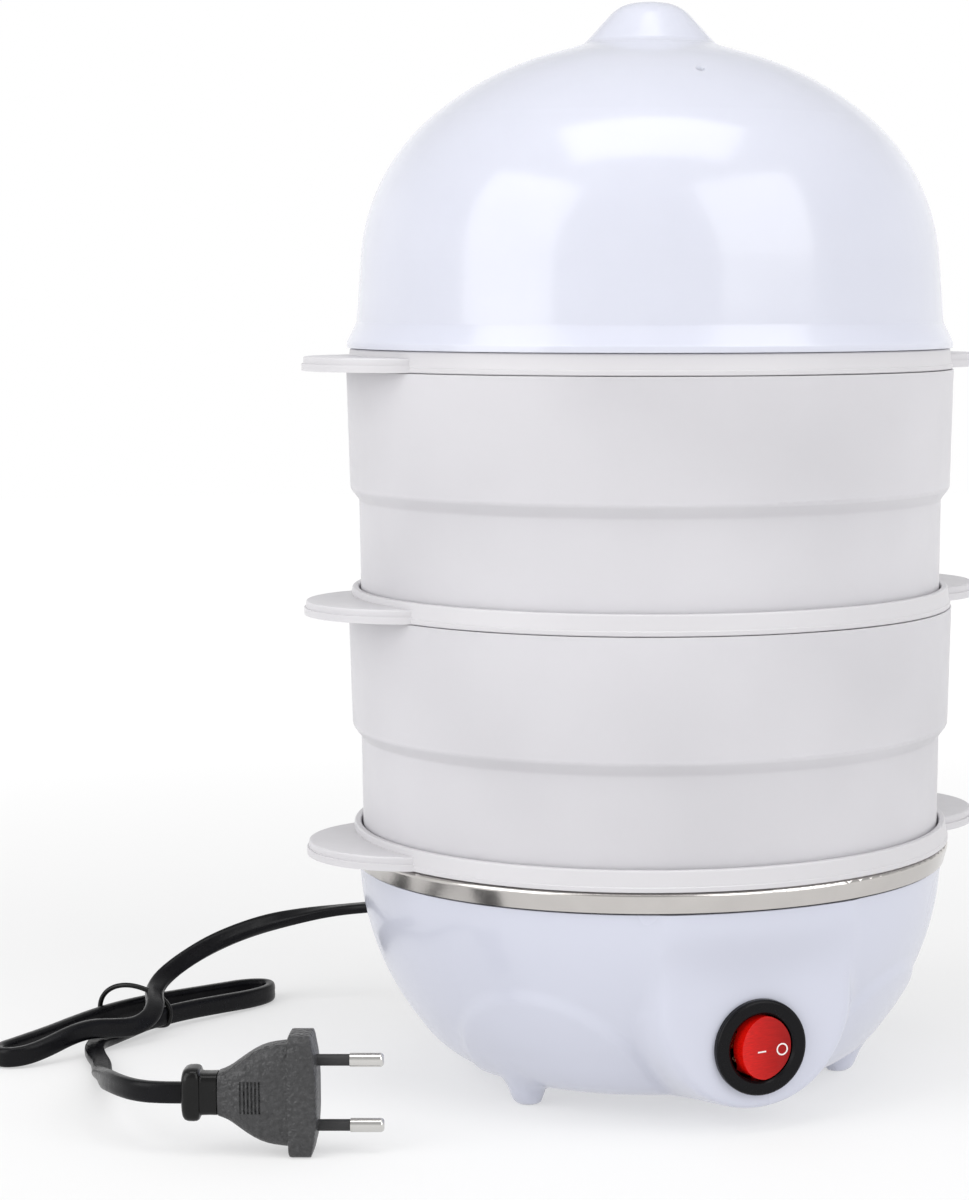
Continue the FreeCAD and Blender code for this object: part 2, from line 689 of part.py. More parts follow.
def heating_pan():
    """Pressed pan with a shelf, an upright mouth and a rim rolled down outside."""
    path = [
        (0, PAN_FLOOR_Z, 0),
        (PAN_RADIUS, PAN_FLOOR_Z, PAN_FLOOR_CURVE),
        (PAN_RADIUS, PAN_SHELF_Z, PAN_SHELF_CURVE),
        (PAN_MOUTH_RADIUS, PAN_SHELF_Z, PAN_MOUTH_CURVE),
        (PAN_MOUTH_RADIUS, PAN_RIM_Z, PAN_RIM_CURVE),
        (PAN_RIM_RADIUS, PAN_RIM_Z, PAN_RIM_CURVE),
        (PAN_SKIRT_RADIUS, PAN_SKIRT_Z, 0),
    ]
    return shell_from_path(path, -PAN_SHEET)


def pan_seal():
    """Flat ring between the housing lip and the pan shelf."""
    bottom = BOWL_TOP_Z + LIP_HEIGHT + TOUCH_GAP
    height = PAN_SHELF_Z - PAN_SHEET - TOUCH_GAP - bottom
    ring = cylinder(LIP_RADIUS - SEAT_GAP, height, vec(0, 0, bottom))
    return ring.cut(cylinder(LIP_RADIUS - SEAT_GAP - SEAL_WIDTH, height, vec(0, 0, bottom)))


def heat_spreader_plate():
    """Aluminium disc between the pan and the element."""
    disc = cylinder(PLATE_RADIUS, PLATE_THICKNESS, vec(0, 0, PLATE_BOTTOM_Z))
    for side in (-1, 1):
        bore_place = vec(0, side * BRACKET_SCREW_OFFSET, PLATE_BOTTOM_Z)
        disc = disc.cut(cylinder(BRACKET_SCREW_RADIUS + TOUCH_GAP, PLATE_THICKNESS, bore_place))
    return disc


def element_end(side):
    """Point where one end of the element's ring begins to turn down."""
    return polar(ELEMENT_RING_RADIUS, -90 + side * ELEMENT_GAP_ANGLE / 2, ELEMENT_Z)


def element_leg_place(side):
    """Axis point and lower end height of one element leg."""
    tangent_angle = -90 + side * ELEMENT_GAP_ANGLE / 2 - side * 90
    place = element_end(side) + polar(ELEMENT_BEND_RADIUS, tangent_angle, 0)
    return vec(place.x, place.y, ELEMENT_Z - ELEMENT_BEND_RADIUS - ELEMENT_LEG)


def heating_element():
    """Tube bent into a ring that is open at the front, its two ends turned down."""
    far = polar(ELEMENT_RING_RADIUS, 90, ELEMENT_Z)
    left = element_end(-1)
    right = element_end(1)
    ring = Part.Arc(left, far, right).toShape()
    edges = []
    legs = []
    for side, end in ((-1, left), (1, right)):
        foot = element_leg_place(side)
        knee = vec(foot.x, foot.y, ELEMENT_Z - ELEMENT_BEND_RADIUS)
        centre = vec(end.x, end.y, ELEMENT_Z - ELEMENT_BEND_RADIUS)
        ahead = unit(vec(foot.x - end.x, foot.y - end.y, 0))
        middle = centre + unit(ahead + Z_AXIS) * ELEMENT_BEND_RADIUS
        legs.append((Part.Arc(end, middle, knee).toShape(), Part.LineSegment(knee, foot).toShape()))
    edges = [legs[0][1], legs[0][0], ring, legs[1][0], legs[1][1]]
    wire = Part.Wire(Part.__sortEdges__(edges))
    start = element_leg_place(-1)
    profile = Part.Wire(Part.makeCircle(ELEMENT_RADIUS, start, Z_AXIS))
    return wire.makePipeShell([profile], True, False)


def element_end_seals():
    """Ceramic beads in the two ends of the element."""
    seals = []
    for side in (-1, 1):
        foot = element_leg_place(side)
        base = foot - Z_AXIS * (END_SEAL_LENGTH + TOUCH_GAP)
        bead = cylinder(END_SEAL_RADIUS, END_SEAL_LENGTH, base)
        seals.append(bead.cut(cylinder(TERMINAL_PIN_RADIUS, END_SEAL_LENGTH, base)))
    return seals


def element_terminals():
    """Steel pins that come out of the element's beads."""
    pins = []
    for side in (-1, 1):
        foot = element_leg_place(side)
        length = END_SEAL_LENGTH + TERMINAL_PIN_LENGTH
        base = foot - Z_AXIS * (length + TOUCH_GAP)
        pins.append(cylinder(TERMINAL_PIN_RADIUS - TOUCH_GAP, length, base))
    return pins


def pan_weld_nuts():
    """Hexagon nuts welded under the pan, over the housing's towers."""
    corner_radius = WELD_NUT_FLATS / math.sqrt(3)
    top = PAN_FLOOR_Z - PAN_SHEET - TOUCH_GAP
    nuts = []
    for angle in foot_angles():
        base = polar(FOOT_CIRCLE_RADIUS, angle, top - WELD_NUT_HEIGHT)
        corners = [base + polar(corner_radius, side * 60 + angle + 30, 0) for side in range(7)]
        prism = Part.Face(Part.makePolygon(corners)).extrude(Z_AXIS * WELD_NUT_HEIGHT)
        nuts.append(prism.cut(cylinder(SCREW_RADIUS + TOUCH_GAP, WELD_NUT_HEIGHT, base)))
    return nuts


def pan_fixing_screws():
    """Screws that pull the pan down, entered through the feet."""
    tip_z = PAN_FLOOR_Z - PAN_SHEET - TOUCH_GAP - SEAT_GAP
    screws = []
    for angle in foot_angles():
        head_base = polar(FOOT_CIRCLE_RADIUS, angle, SCREW_SEAT_Z - TOUCH_GAP - SCREW_HEAD_HEIGHT)
        head = cylinder(SCREW_HEAD_RADIUS, SCREW_HEAD_HEIGHT, head_base)
        shank = cylinder(SCREW_RADIUS, tip_z - head_base.z, head_base)
        slot_centre = head_base + Z_AXIS * (DRIVE_SLOT_DEPTH / 2)
        slot = block(2 * SCREW_HEAD_RADIUS, DRIVE_SLOT_WIDTH, DRIVE_SLOT_DEPTH, slot_centre)
        screws.append(head.fuse(shank).cut(slot))
    return screws


def thermostat_body():
    """Disc thermostat: metal cap against the plate, plastic body below."""
    cap_z = PLATE_BOTTOM_Z - TOUCH_GAP - THERMOSTAT_CAP_HEIGHT
    cap = cylinder(THERMOSTAT_CAP_RADIUS, THERMOSTAT_CAP_HEIGHT, vec(0, 0, cap_z))
    body_base = vec(0, 0, cap_z - THERMOSTAT_BODY_HEIGHT)
    body = cylinder(THERMOSTAT_BODY_RADIUS, THERMOSTAT_BODY_HEIGHT, body_base)
    return cap.fuse(body)


def thermostat_body_z():
    """Height of the step between the thermostat's cap and body."""
    return PLATE_BOTTOM_Z - TOUCH_GAP - THERMOSTAT_CAP_HEIGHT


def thermostat_bracket():
    """Strap under the thermostat's cap, cranked up to the plate at both ends."""
    top = thermostat_body_z() - TOUCH_GAP
    middle = vec(0, 0, top - BRACKET_THICKNESS / 2)
    strap = block(BRACKET_WIDTH * 2, BRACKET_LENGTH, BRACKET_THICKNESS, middle)
    rise = PLATE_BOTTOM_Z - TOUCH_GAP - top
    for side in (-1, 1):
        place = vec(0, side * BRACKET_SCREW_OFFSET, top)
        strap = strap.fuse(cylinder(BRACKET_SCREW_HEAD_RADIUS, rise, place))
    strap = strap.cut(cylinder(THERMOSTAT_BODY_RADIUS + SEAT_GAP, 2 * OVERRUN, vec(0, 0, top - OVERRUN)))
    for side in (-1, 1):
        place = vec(0, side * BRACKET_SCREW_OFFSET, top - OVERRUN)
        strap = strap.cut(cylinder(BRACKET_SCREW_RADIUS + TOUCH_GAP, rise + 2 * OVERRUN, place))
    return strap


def thermostat_screws():
    """Two screws that hold the strap to the plate."""
    seat = thermostat_body_z() - TOUCH_GAP - BRACKET_THICKNESS - TOUCH_GAP
    screws = []
    for side in (-1, 1):
        base = vec(0, side * BRACKET_SCREW_OFFSET, seat - BRACKET_SCREW_HEAD_HEIGHT)
        head = cylinder(BRACKET_SCREW_HEAD_RADIUS, BRACKET_SCREW_HEAD_HEIGHT, base)
        shank = cylinder(BRACKET_SCREW_RADIUS, PLATE_TOP_Z - TOUCH_GAP - base.z, base)
        screws.append(head.fuse(shank))
    return screws


def thermostat_blade_z():
    """Height of the thermostat's blades."""
    return thermostat_body_z() - THERMOSTAT_BODY_HEIGHT / 2


def thermostat_terminals():
    """Two blades out of the sides of the thermostat's body."""
    blades = []
    for side in (-1, 1):
        start = THERMOSTAT_BODY_RADIUS + TOUCH_GAP
        centre = vec(side * (start + BLADE_LENGTH / 2), 0, thermostat_blade_z())
        blades.append(block(BLADE_LENGTH, BLADE_WIDTH, BLADE_THICKNESS, centre))
    return blades


def thermal_fuse():
    """Round thermal link in the heater circuit."""
    start = vec(FUSE_X, FUSE_START_Y - FUSE_LENGTH, FUSE_Z)
    body = cylinder(FUSE_RADIUS, FUSE_LENGTH, start, Y_AXIS)
    rims = [edge for edge in body.Edges if edge.isClosed()]
    return body.makeChamfer(FUSE_RADIUS / 4, rims)


# Egg trays, tiers and lid

def tray_outline(z):
    """Rim, plate and spigot of a tray in section."""
    face_radius = TRAY_RIM_RADIUS - TRAY_LIP_STEP
    return [
        (0, z, 0),
        (SPIGOT_RADIUS - SPIGOT_WALL, z, 0),
        (SPIGOT_RADIUS - SPIGOT_WALL, z - SPIGOT_HEIGHT, 0),
        (SPIGOT_RADIUS, z - SPIGOT_HEIGHT, 0),
        (SPIGOT_RADIUS, z, 0),
        (TRAY_RIM_RADIUS, z, TRAY_LIP_STEP),
        (TRAY_RIM_RADIUS, z + TRAY_LIP_HEIGHT, 0),
        (face_radius, z + TRAY_LIP_HEIGHT + TRAY_LIP_STEP, 0),
        (TRAY_RIM_TOP_RADIUS, z + TRAY_RIM_HEIGHT, TRAY_RIM_ROUND),
        (TRAY_RIM_INNER_RADIUS, z + TRAY_RIM_HEIGHT, TRAY_RIM_ROUND),
        (TRAY_RIM_INNER_RADIUS, z + TRAY_PLATE, 0),
        (0, z + TRAY_PLATE, 0),
    ]


def seat_places():
    """Centres of the seven egg seats."""
    places = [ORIGIN]
    for index in range(SEAT_COUNT):
        places.append(polar(SEAT_RING_RADIUS, index * 360 / SEAT_COUNT, 0))
    return places


def seat_ring(place, z):
    """Conical egg seat below the plate."""
    top = z + TRAY_PLATE
    bottom = top - SEAT_DEPTH
    slope = (SEAT_RADIUS - SEAT_HOLE_RADIUS) / SEAT_DEPTH
    outline = [
        (SEAT_RADIUS, top, 0),
        (SEAT_HOLE_RADIUS, bottom, 0),
        (SEAT_HOLE_RADIUS + SEAT_WALL, bottom, 0),
        (SEAT_RADIUS + SEAT_WALL, top - SEAT_WALL * slope, 0),
        (SEAT_RADIUS + SEAT_WALL, top, 0),
    ]
    return moved(revolved_outline(outline), place)


def ear(side, z):
    """D-shaped ear with a fine step at half its thickness."""
    half = EAR_THICKNESS / 2
    centre = vec(side * EAR_CENTRE_X, 0, z)
    lower = cylinder(EAR_RADIUS, half, centre)
    upper = cylinder(EAR_RADIUS - EAR_STEP, half, centre + Z_AXIS * half)
    top = [edge for edge in upper.Edges if edge.CenterOfMass.z > z + EAR_THICKNESS - TOLERANCE]
    upper = upper.makeFillet(EAR_STEP, top)
    plate = lower.fuse(upper)
    middle_radius = (TRAY_RIM_INNER_RADIUS + TRAY_RIM_TOP_RADIUS) / 2
    return plate.cut(cylinder(middle_radius, EAR_THICKNESS + OVERRUN, vec(0, 0, z)))


def egg_tray(index):
    """One of the three trays, counted from the bottom."""
    z = TRAY_Z + index * TRAY_PITCH
    tray = revolved_outline(tray_outline(z))
    for side in (-1, 1):
        tray = tray.fuse(ear(side, z))
    below = Z_AXIS * (z - OVERRUN)
    for place in seat_places():
        tray = tray.cut(cylinder(SEAT_RADIUS, TRAY_PLATE + 2 * OVERRUN, place + below))
    for place in seat_places():
        tray = tray.fuse(seat_ring(place, z))
    for index_hole in range(SEAT_COUNT):
        place = polar(INNER_STEAM_RADIUS, (index_hole + 0.5) * 360 / SEAT_COUNT, 0)
        tray = tray.cut(cylinder(STEAM_HOLE_RADIUS, TRAY_PLATE + 2 * OVERRUN, place + below))
    for index_hole in range(OUTER_STEAM_COUNT):
        angle = (index_hole + 0.5) * 360 / OUTER_STEAM_COUNT
        place = polar(OUTER_STEAM_RADIUS, angle, 0)
        tray = tray.cut(cylinder(STEAM_HOLE_RADIUS, TRAY_PLATE + 2 * OVERRUN, place + below))
    return tray


def tier_ring(index):
    """One of the two bottomless tiers, counted from the bottom."""
    z = TRAY_Z + index * TRAY_PITCH + TRAY_PLATE + SEAT_GAP
    path = [
        (TIER_FOOT_RADIUS, z, 0),
        (TIER_WAIST_RADIUS, z + TIER_WAIST_HEIGHT, TIER_WAIST_CURVE),
        (TIER_STEP_RADIUS, z + TIER_STEP_HEIGHT, TIER_STEP_CURVE),
        (TIER_MOUTH_RADIUS, z + TIER_HEIGHT, 0),
    ]
    return shell_from_path(path, TIER_WALL)


def lid_path():
    """Outer outline of the lid, from its collar to the top of its knob."""
    return [
        (LID_COLLAR_RADIUS, LID_Z, 0),
        (LID_COLLAR_RADIUS, LID_Z + LID_COLLAR_HEIGHT, LID_COLLAR_CURVE),
        (LID_WALL_RADIUS, LID_Z + LID_COVE_HEIGHT, LID_COVE_CURVE),
        (LID_SHOULDER_RADIUS, LID_Z + LID_SHOULDER_HEIGHT, LID_SHOULDER_CURVE),
        (LID_CROWN_RADIUS, LID_Z + LID_CROWN_HEIGHT, LID_CROWN_CURVE),
        (KNOB_ROOT_RADIUS, LID_Z + KNOB_ROOT_HEIGHT, KNOB_ROOT_CURVE),
        (KNOB_TOP_RADIUS, LID_Z + LID_HEIGHT, KNOB_TOP_CURVE),
        (0, LID_Z + LID_HEIGHT, 0),
    ]


def lid_dome():
    """Dome with its hollow knob, collar, skirt and two steam vents."""
    shell = shell_from_path(lid_path(), LID_WALL)
    skirt_bottom = LID_Z - TRAY_RIM_HEIGHT + TRAY_PLATE
    skirt = [
        (TIER_FOOT_RADIUS - TIER_WALL, skirt_bottom, 0),
        (TIER_FOOT_RADIUS, skirt_bottom, 0),
        (TIER_FOOT_RADIUS, LID_Z, 0),
        (LID_COLLAR_RADIUS - WELD, LID_Z, 0),
        (LID_WALL_RADIUS - WELD, LID_Z + LID_COVE_HEIGHT, 0),
        (TIER_FOOT_RADIUS - TIER_WALL, LID_Z + LID_COVE_HEIGHT, 0),
    ]
    dome = shell.fuse(revolved_outline(skirt))
    for half_turns in range(2):
        start = polar(VENT_CIRCLE_RADIUS, VENT_ANGLE + 180 * half_turns, LID_Z + LID_SHOULDER_HEIGHT)
        dome = dome.cut(cylinder(VENT_RADIUS, LID_HEIGHT, start))
    return dome


# Switch

def switch_housing():
    """Bezel and barrel with a pocket for the rocker and slots for the blades."""
    front = BOSS_FACE_Y - BEZEL_THICKNESS
    flange = cylinder(BEZEL_RADIUS, BEZEL_THICKNESS - TOUCH_GAP, vec(0, front, SWITCH_Z), Y_AXIS)
    rim = [edge for edge in flange.Edges if abs(edge.CenterOfMass.y - front) < TOUCH_GAP / 2]
    flange = flange.makeFillet(BEZEL_ROUND, rim)
    barrel = cylinder(BARREL_RADIUS, BARREL_BACK_Y - front, vec(0, front, SWITCH_Z), Y_AXIS)
    body = flange.fuse(barrel)
    pocket_depth = BARREL_BACK_Y - BARREL_BACK - front
    pocket = cylinder(OPENING_RADIUS, pocket_depth, vec(0, front, SWITCH_Z), Y_AXIS)
    mouth = cone(OPENING_RADIUS + BEZEL_MOUTH_CHAMFER, OPENING_RADIUS, BEZEL_MOUTH_CHAMFER,
                 vec(0, front, SWITCH_Z), Y_AXIS)
    trim = cylinder(BEZEL_RADIUS, OVERRUN, vec(0, front - OVERRUN, SWITCH_Z), Y_AXIS)
    body = body.cut(pocket).cut(mouth).cut(trim)
    pivot = vec(0, PIVOT_Y, SWITCH_Z - BARREL_RADIUS - OVERRUN)
    body = body.cut(cylinder(TRUNNION_RADIUS + RUNNING_GAP, 2 * BARREL_RADIUS + 2 * OVERRUN, pivot))
    for index in (-1, 0, 1):
        centre = vec(index * SWITCH_BLADE_OFFSET, BARREL_BACK_Y, SWITCH_Z)
        slot_height = SWITCH_BLADE_WIDTH + 2 * TOUCH_GAP
        body = body.cut(block(BLADE_THICKNESS + 2 * TOUCH_GAP, 2 * OVERRUN, slot_height, centre))
    return body


def rocker_upright():
    """Rocker before it is tilted, its pivot along Z: a lens seen from the front, its face hollow."""
    edge_y = PIVOT_Y - ROCKER_FACE_RISE
    length = ROCKER_FACE_RISE + ROCKER_BACK
    shift = ROCKER_FACE_RISE * math.sin(math.radians(ROCKER_TILT))
    lens = cylinder(ROCKER_RADIUS, length, vec(-shift, edge_y, SWITCH_Z), Y_AXIS)
    lens = lens.common(cylinder(ROCKER_RADIUS, length, vec(shift, edge_y, SWITCH_Z), Y_AXIS))
    half_width = ROCKER_RADIUS - shift
    front_length = ROCKER_FACE_RISE - ROCKER_SKIRT
    front = block(2 * ROCKER_RADIUS, front_length, 2 * ROCKER_RADIUS,
                  vec(0, edge_y + front_length / 2, SWITCH_Z))
    back = block(2 * ROCKER_BACK_HALF_WIDTH, length, 2 * ROCKER_RADIUS,
                 vec(0, edge_y + length / 2, SWITCH_Z))
    body = lens.common(front.fuse(back))
    sagitta = ROCKER_FACE_CURVE - math.sqrt(ROCKER_FACE_CURVE ** 2 - half_width ** 2)
    hollow_axis = vec(0, edge_y + sagitta - ROCKER_FACE_CURVE, SWITCH_Z - ROCKER_RADIUS)
    body = body.cut(cylinder(ROCKER_FACE_CURVE, 2 * ROCKER_RADIUS, hollow_axis))
    reach = ROCKER_RADIUS + TRUNNION_REACH
    trunnions = cylinder(TRUNNION_RADIUS, 2 * reach, vec(0, PIVOT_Y, SWITCH_Z - reach))
    return body.fuse(trunnions)


def switch_rocker():
    """Rocker at rest, its right side pressed in."""
    return turned(rocker_upright(), ROCKER_TILT, vec(0, PIVOT_Y, SWITCH_Z))


def switch_plunger():
    """Sprung pin behind the rocker that pushes the contact lever."""
    start = vec(0, PIVOT_Y + ROCKER_BACK + TOUCH_GAP, SWITCH_Z)
    pin = cylinder(PLUNGER_RADIUS, PLUNGER_LENGTH, start, Y_AXIS)
    tip = [edge for edge in pin.Edges if edge.CenterOfMass.y > start.y + PLUNGER_LENGTH - TOUCH_GAP]
    pin = pin.makeFillet(PLUNGER_RADIUS / 2, tip)
    return turned(pin, ROCKER_TILT, vec(0, PIVOT_Y, SWITCH_Z))


def lever_pivot_y():
    """Place of the contact lever's pivot behind the plunger."""
    return PIVOT_Y + ROCKER_BACK + PLUNGER_LENGTH + LEVER_GAP + LEVER_THICKNESS / 2


def switch_contact_lever():
    """Rocking copper contact behind the plunger, tilted the other way."""
    centre = vec(0, lever_pivot_y(), SWITCH_Z)
    plate = block(LEVER_LENGTH, LEVER_THICKNESS, LEVER_HEIGHT, centre)
    for side in (-1, 1):
        contact = centre + vec(side * (LEVER_LENGTH / 2 - LEVER_THICKNESS), 0, 0)
        plate = plate.fuse(cylinder(LEVER_THICKNESS, LEVER_THICKNESS, contact, Y_AXIS))
    return turned(plate, -ROCKER_TILT * LEVER_RATIO_SHARE, centre)


def switch_terminals():
    """Three blades through the switch's back, the middle one up to the lever."""
    blades = []
    for index in (-1, 0, 1):
        reach = BARREL_BACK_Y - BARREL_BACK - lever_pivot_y() - LEVER_THICKNESS / 2 - LEVER_GAP
        inside = BARREL_BACK + (reach if index == 0 else TOUCH_GAP)
        centre = vec(index * SWITCH_BLADE_OFFSET, BARREL_BACK_Y + (BLADE_LENGTH - inside) / 2, SWITCH_Z)
        blades.append(block(BLADE_THICKNESS, BLADE_LENGTH + inside, SWITCH_BLADE_WIDTH, centre))
    return blades


def switch_lamp():
    """Neon lamp seated on the back of the switch's pocket, below the lever."""
    back = BARREL_BACK_Y - BARREL_BACK - TOUCH_GAP
    start = vec(0, back - LAMP_LENGTH, SWITCH_Z - LAMP_DROP)
    lamp = cylinder(LAMP_RADIUS, LAMP_LENGTH, start, Y_AXIS)
    tip = [edge for edge in lamp.Edges if edge.CenterOfMass.y < start.y + TOUCH_GAP]
    return lamp.makeFillet(LAMP_RADIUS / 2, tip)


# Cord bushing, inner sheath and clamp

def cord_bushing():
    """Rubber bushing with an inner flange and a ribbed tapered tail."""
    ahead = cord_direction()
    neck_length = GLAND_BOSS_FACE + BUSHING_FLANGE - BUSHING_INNER_FACE
    neck = cylinder(BUSHING_NECK_RADIUS, neck_length, cord_place(BUSHING_INNER_FACE), ahead)
    inner = cylinder(BUSHING_INNER_RADIUS, BUSHING_INNER_FLANGE, cord_place(BUSHING_INNER_FACE), ahead)
    flange_start = GLAND_BOSS_FACE + TOUCH_GAP
    flange = cylinder(BUSHING_FLANGE_RADIUS, BUSHING_FLANGE, cord_place(flange_start), ahead)
    tail_start = flange_start + BUSHING_FLANGE
    tail_length = BUSHING_TIP - tail_start
    tail = cone(BUSHING_TAIL_RADIUS, BUSHING_TIP_RADIUS, tail_length, cord_place(tail_start), ahead)
    body = neck.fuse(inner).fuse(flange).fuse(tail)
    pitch = tail_length / (BOOT_RIB_COUNT + 1)
    for index in range(BOOT_RIB_COUNT):
        place = tail_start + (index + 1) * pitch - BOOT_RIB_WIDTH / 2
        share = (place - tail_start) / tail_length
        outer = BUSHING_TAIL_RADIUS + (BUSHING_TIP_RADIUS - BUSHING_TAIL_RADIUS) * share
        groove = cylinder(outer + OVERRUN, BOOT_RIB_WIDTH, cord_place(place), ahead)
        groove = groove.cut(cylinder(outer - BOOT_RIB_DEPTH, BOOT_RIB_WIDTH, cord_place(place), ahead))
        body = body.cut(groove)
    return body


def cord_inner_sheath():
    """Cord between the bushing and the clamp, inside the housing."""
    start = cord_place(SHEATH_END)
    return cylinder(CORD_TUBE_RADIUS, BUSHING_INNER_FACE - TOUCH_GAP - SHEATH_END, start, cord_direction())


def cord_clamp():
    """Bar across the cord on its two posts."""
    bottom = CORD_Z + CORD_TUBE_RADIUS + TOUCH_GAP
    bar = block(CLAMP_WIDTH, CLAMP_LENGTH, CLAMP_THICKNESS, ORIGIN)
    bar.rotate(ORIGIN, Z_AXIS, CORD_ANGLE)
    bar.translate(cord_place(CLAMP_POSITION, 0, bottom + CLAMP_THICKNESS / 2))
    for side in (-CLAMP_SCREW_OFFSET, CLAMP_SCREW_OFFSET):
        hole_base = cord_place(CLAMP_POSITION, side, bottom)
        bar = bar.cut(cylinder(CLAMP_SCREW_RADIUS + TOUCH_GAP, CLAMP_THICKNESS, hole_base))
    return bar


def cord_clamp_screws():
    """Two screws through the clamp bar."""
    seat = CORD_Z + CORD_TUBE_RADIUS + CLAMP_THICKNESS + 2 * TOUCH_GAP
    screws = []
    for side in (-CLAMP_SCREW_OFFSET, CLAMP_SCREW_OFFSET):
        head_base = cord_place(CLAMP_POSITION, side, seat)
        head = cylinder(CLAMP_SCREW_HEAD_RADIUS, CLAMP_SCREW_HEAD_HEIGHT, head_base)
        tip = seat - CLAMP_SCREW_LENGTH
        shank = cylinder(CLAMP_SCREW_RADIUS, CLAMP_SCREW_LENGTH, cord_place(CLAMP_POSITION, side, tip))
        screws.append(head.fuse(shank))
    return screws


# Tubes along routes

def corner_arc(before, here, after):
    """Tangent arc at a point of a route: its start, middle, end, and radius."""
    back = before - here
    ahead = after - here
    shorter = min(back.Length, ahead.Length)
    turn = math.pi - back.getAngle(ahead)
    cut = ARC_SHARE * shorter
    radius = cut / math.tan(turn / 2)
    start = here + unit(back) * cut
    end = here + unit(ahead) * cut
    inward = unit(unit(back) + unit(ahead))
    centre = here + inward * (radius / math.cos(turn / 2))
    middle = centre + unit(here - centre) * radius
    return start, middle, end, radius


def route_edges(points):
    """Straight runs joined by tangent arcs, as lists of edges per run, and the arcs' radii."""
    runs = []
    radii = []
    start = points[0]
    for index in range(1, len(points) - 1):
        arc_start, middle, arc_end, radius = corner_arc(points[index - 1], points[index], points[index + 1])
        runs.append((start, arc_start))
        runs.append((arc_start, middle, arc_end))
        radii.append(radius)
        start = arc_end
    runs.append((start, points[-1]))
    return runs, radii


def route_shape(runs):
    """Wire of a list of runs."""
    edges = []
    for run in runs:
        if len(run) == 2:
            edges.append(Part.LineSegment(run[0], run[1]).toShape())
        else:
            edges.append(Part.Arc(run[0], run[1], run[2]).toShape())
    return Part.Wire(edges)


def tube(runs, radius, name):
    """Round tube along runs, its volume compared with its section times its length."""
    wire = route_shape(runs)
    first = runs[0]
    profile = Part.Wire(Part.makeCircle(radius, first[0], first[1] - first[0]))
    solid = wire.makePipeShell([profile], True, False)
    expected = math.pi * radius ** 2 * wire.Length
    print(f"{name}: length {wire.Length:.1f}, volume ratio {solid.Volume / expected:.4f}")
    return solid


def wire_tube(points, name):
    """Insulated wire inside the housing."""
    runs, radii = route_edges(points)
    print(f"{name}: smallest bend {min(radii):.1f}")
    return tube(runs, WIRE_RADIUS, name)


def split_route():
    """The power cord's route in three parts that meet in the middle of a run."""
    groups = [LEAD_POINTS, HANK_POINTS, TAIL_POINTS]
    points = [vec(*point) for group in groups for point in group]
    runs, radii = route_edges(points)
    print("cord bends:", " ".join(f"{radius:.1f}" for radius in radii))
    parts = []
    current = []
    breaks = [len(LEAD_POINTS) - 1, len(LEAD_POINTS) + len(HANK_POINTS) - 1]
    straight = -1
    for run in runs:
        if len(run) == 2:
            straight += 1
        if len(run) == 2 and straight in breaks:
            middle = (run[0] + run[1]) * 0.5
            current.append((run[0], middle))
            parts.append(current)
            current = [(middle, run[1])]
        else:
            current.append(run)
    parts.append(current)
    return parts


def print_gap_to_itself(runs, radius, name):
    """Least gap between stretches of one tube, measured on points along it."""
    wire = route_shape(runs)
    step = radius / 4
    count = int(wire.Length / step)
    points = wire.discretize(Number=count)
    spacing = wire.Length / (count - 1)
    apart = int(8 * radius / spacing)
    least = wire.Length
    for first in range(count):
        for second in range(first + apart, count):
            least = min(least, points[first].distanceToPoint(points[second]))
    print(f"{name}: least gap to itself {least - 2 * radius:.2f}")


def cord_tie():
    """Thin band closed round the hank where its strands meet."""
    height = TIE_TOP_Z - TIE_BOTTOM_Z
    outer = Part.Face(rounded_box_wire(height, 2 * TIE_HALF_WIDTH, TIE_CORNER, -TIE_WIDTH / 2))
    inner = Part.Face(rounded_box_wire(height - 2 * TIE_BAND, 2 * (TIE_HALF_WIDTH - TIE_BAND),
                                       TIE_CORNER - TIE_BAND, -TIE_WIDTH / 2))
    band = outer.cut(inner).extrude(X_AXIS * TIE_WIDTH)
    band.rotate(ORIGIN, Z_AXIS, TIE_ANGLE + 90)
    band.translate(vec(TIE_CENTRE_X, TIE_CENTRE_Y, (TIE_TOP_Z + TIE_BOTTOM_Z) / 2))
    return band


# Plug

def placed_plug(shape):
    """Shape modelled along X from the plug's face, put where the plug lies."""
    shape.rotate(ORIGIN, Z_AXIS, PLUG_ANGLE)
    shape.translate(vec(PLUG_X, PLUG_Y, PLUG_Z))
    return shape


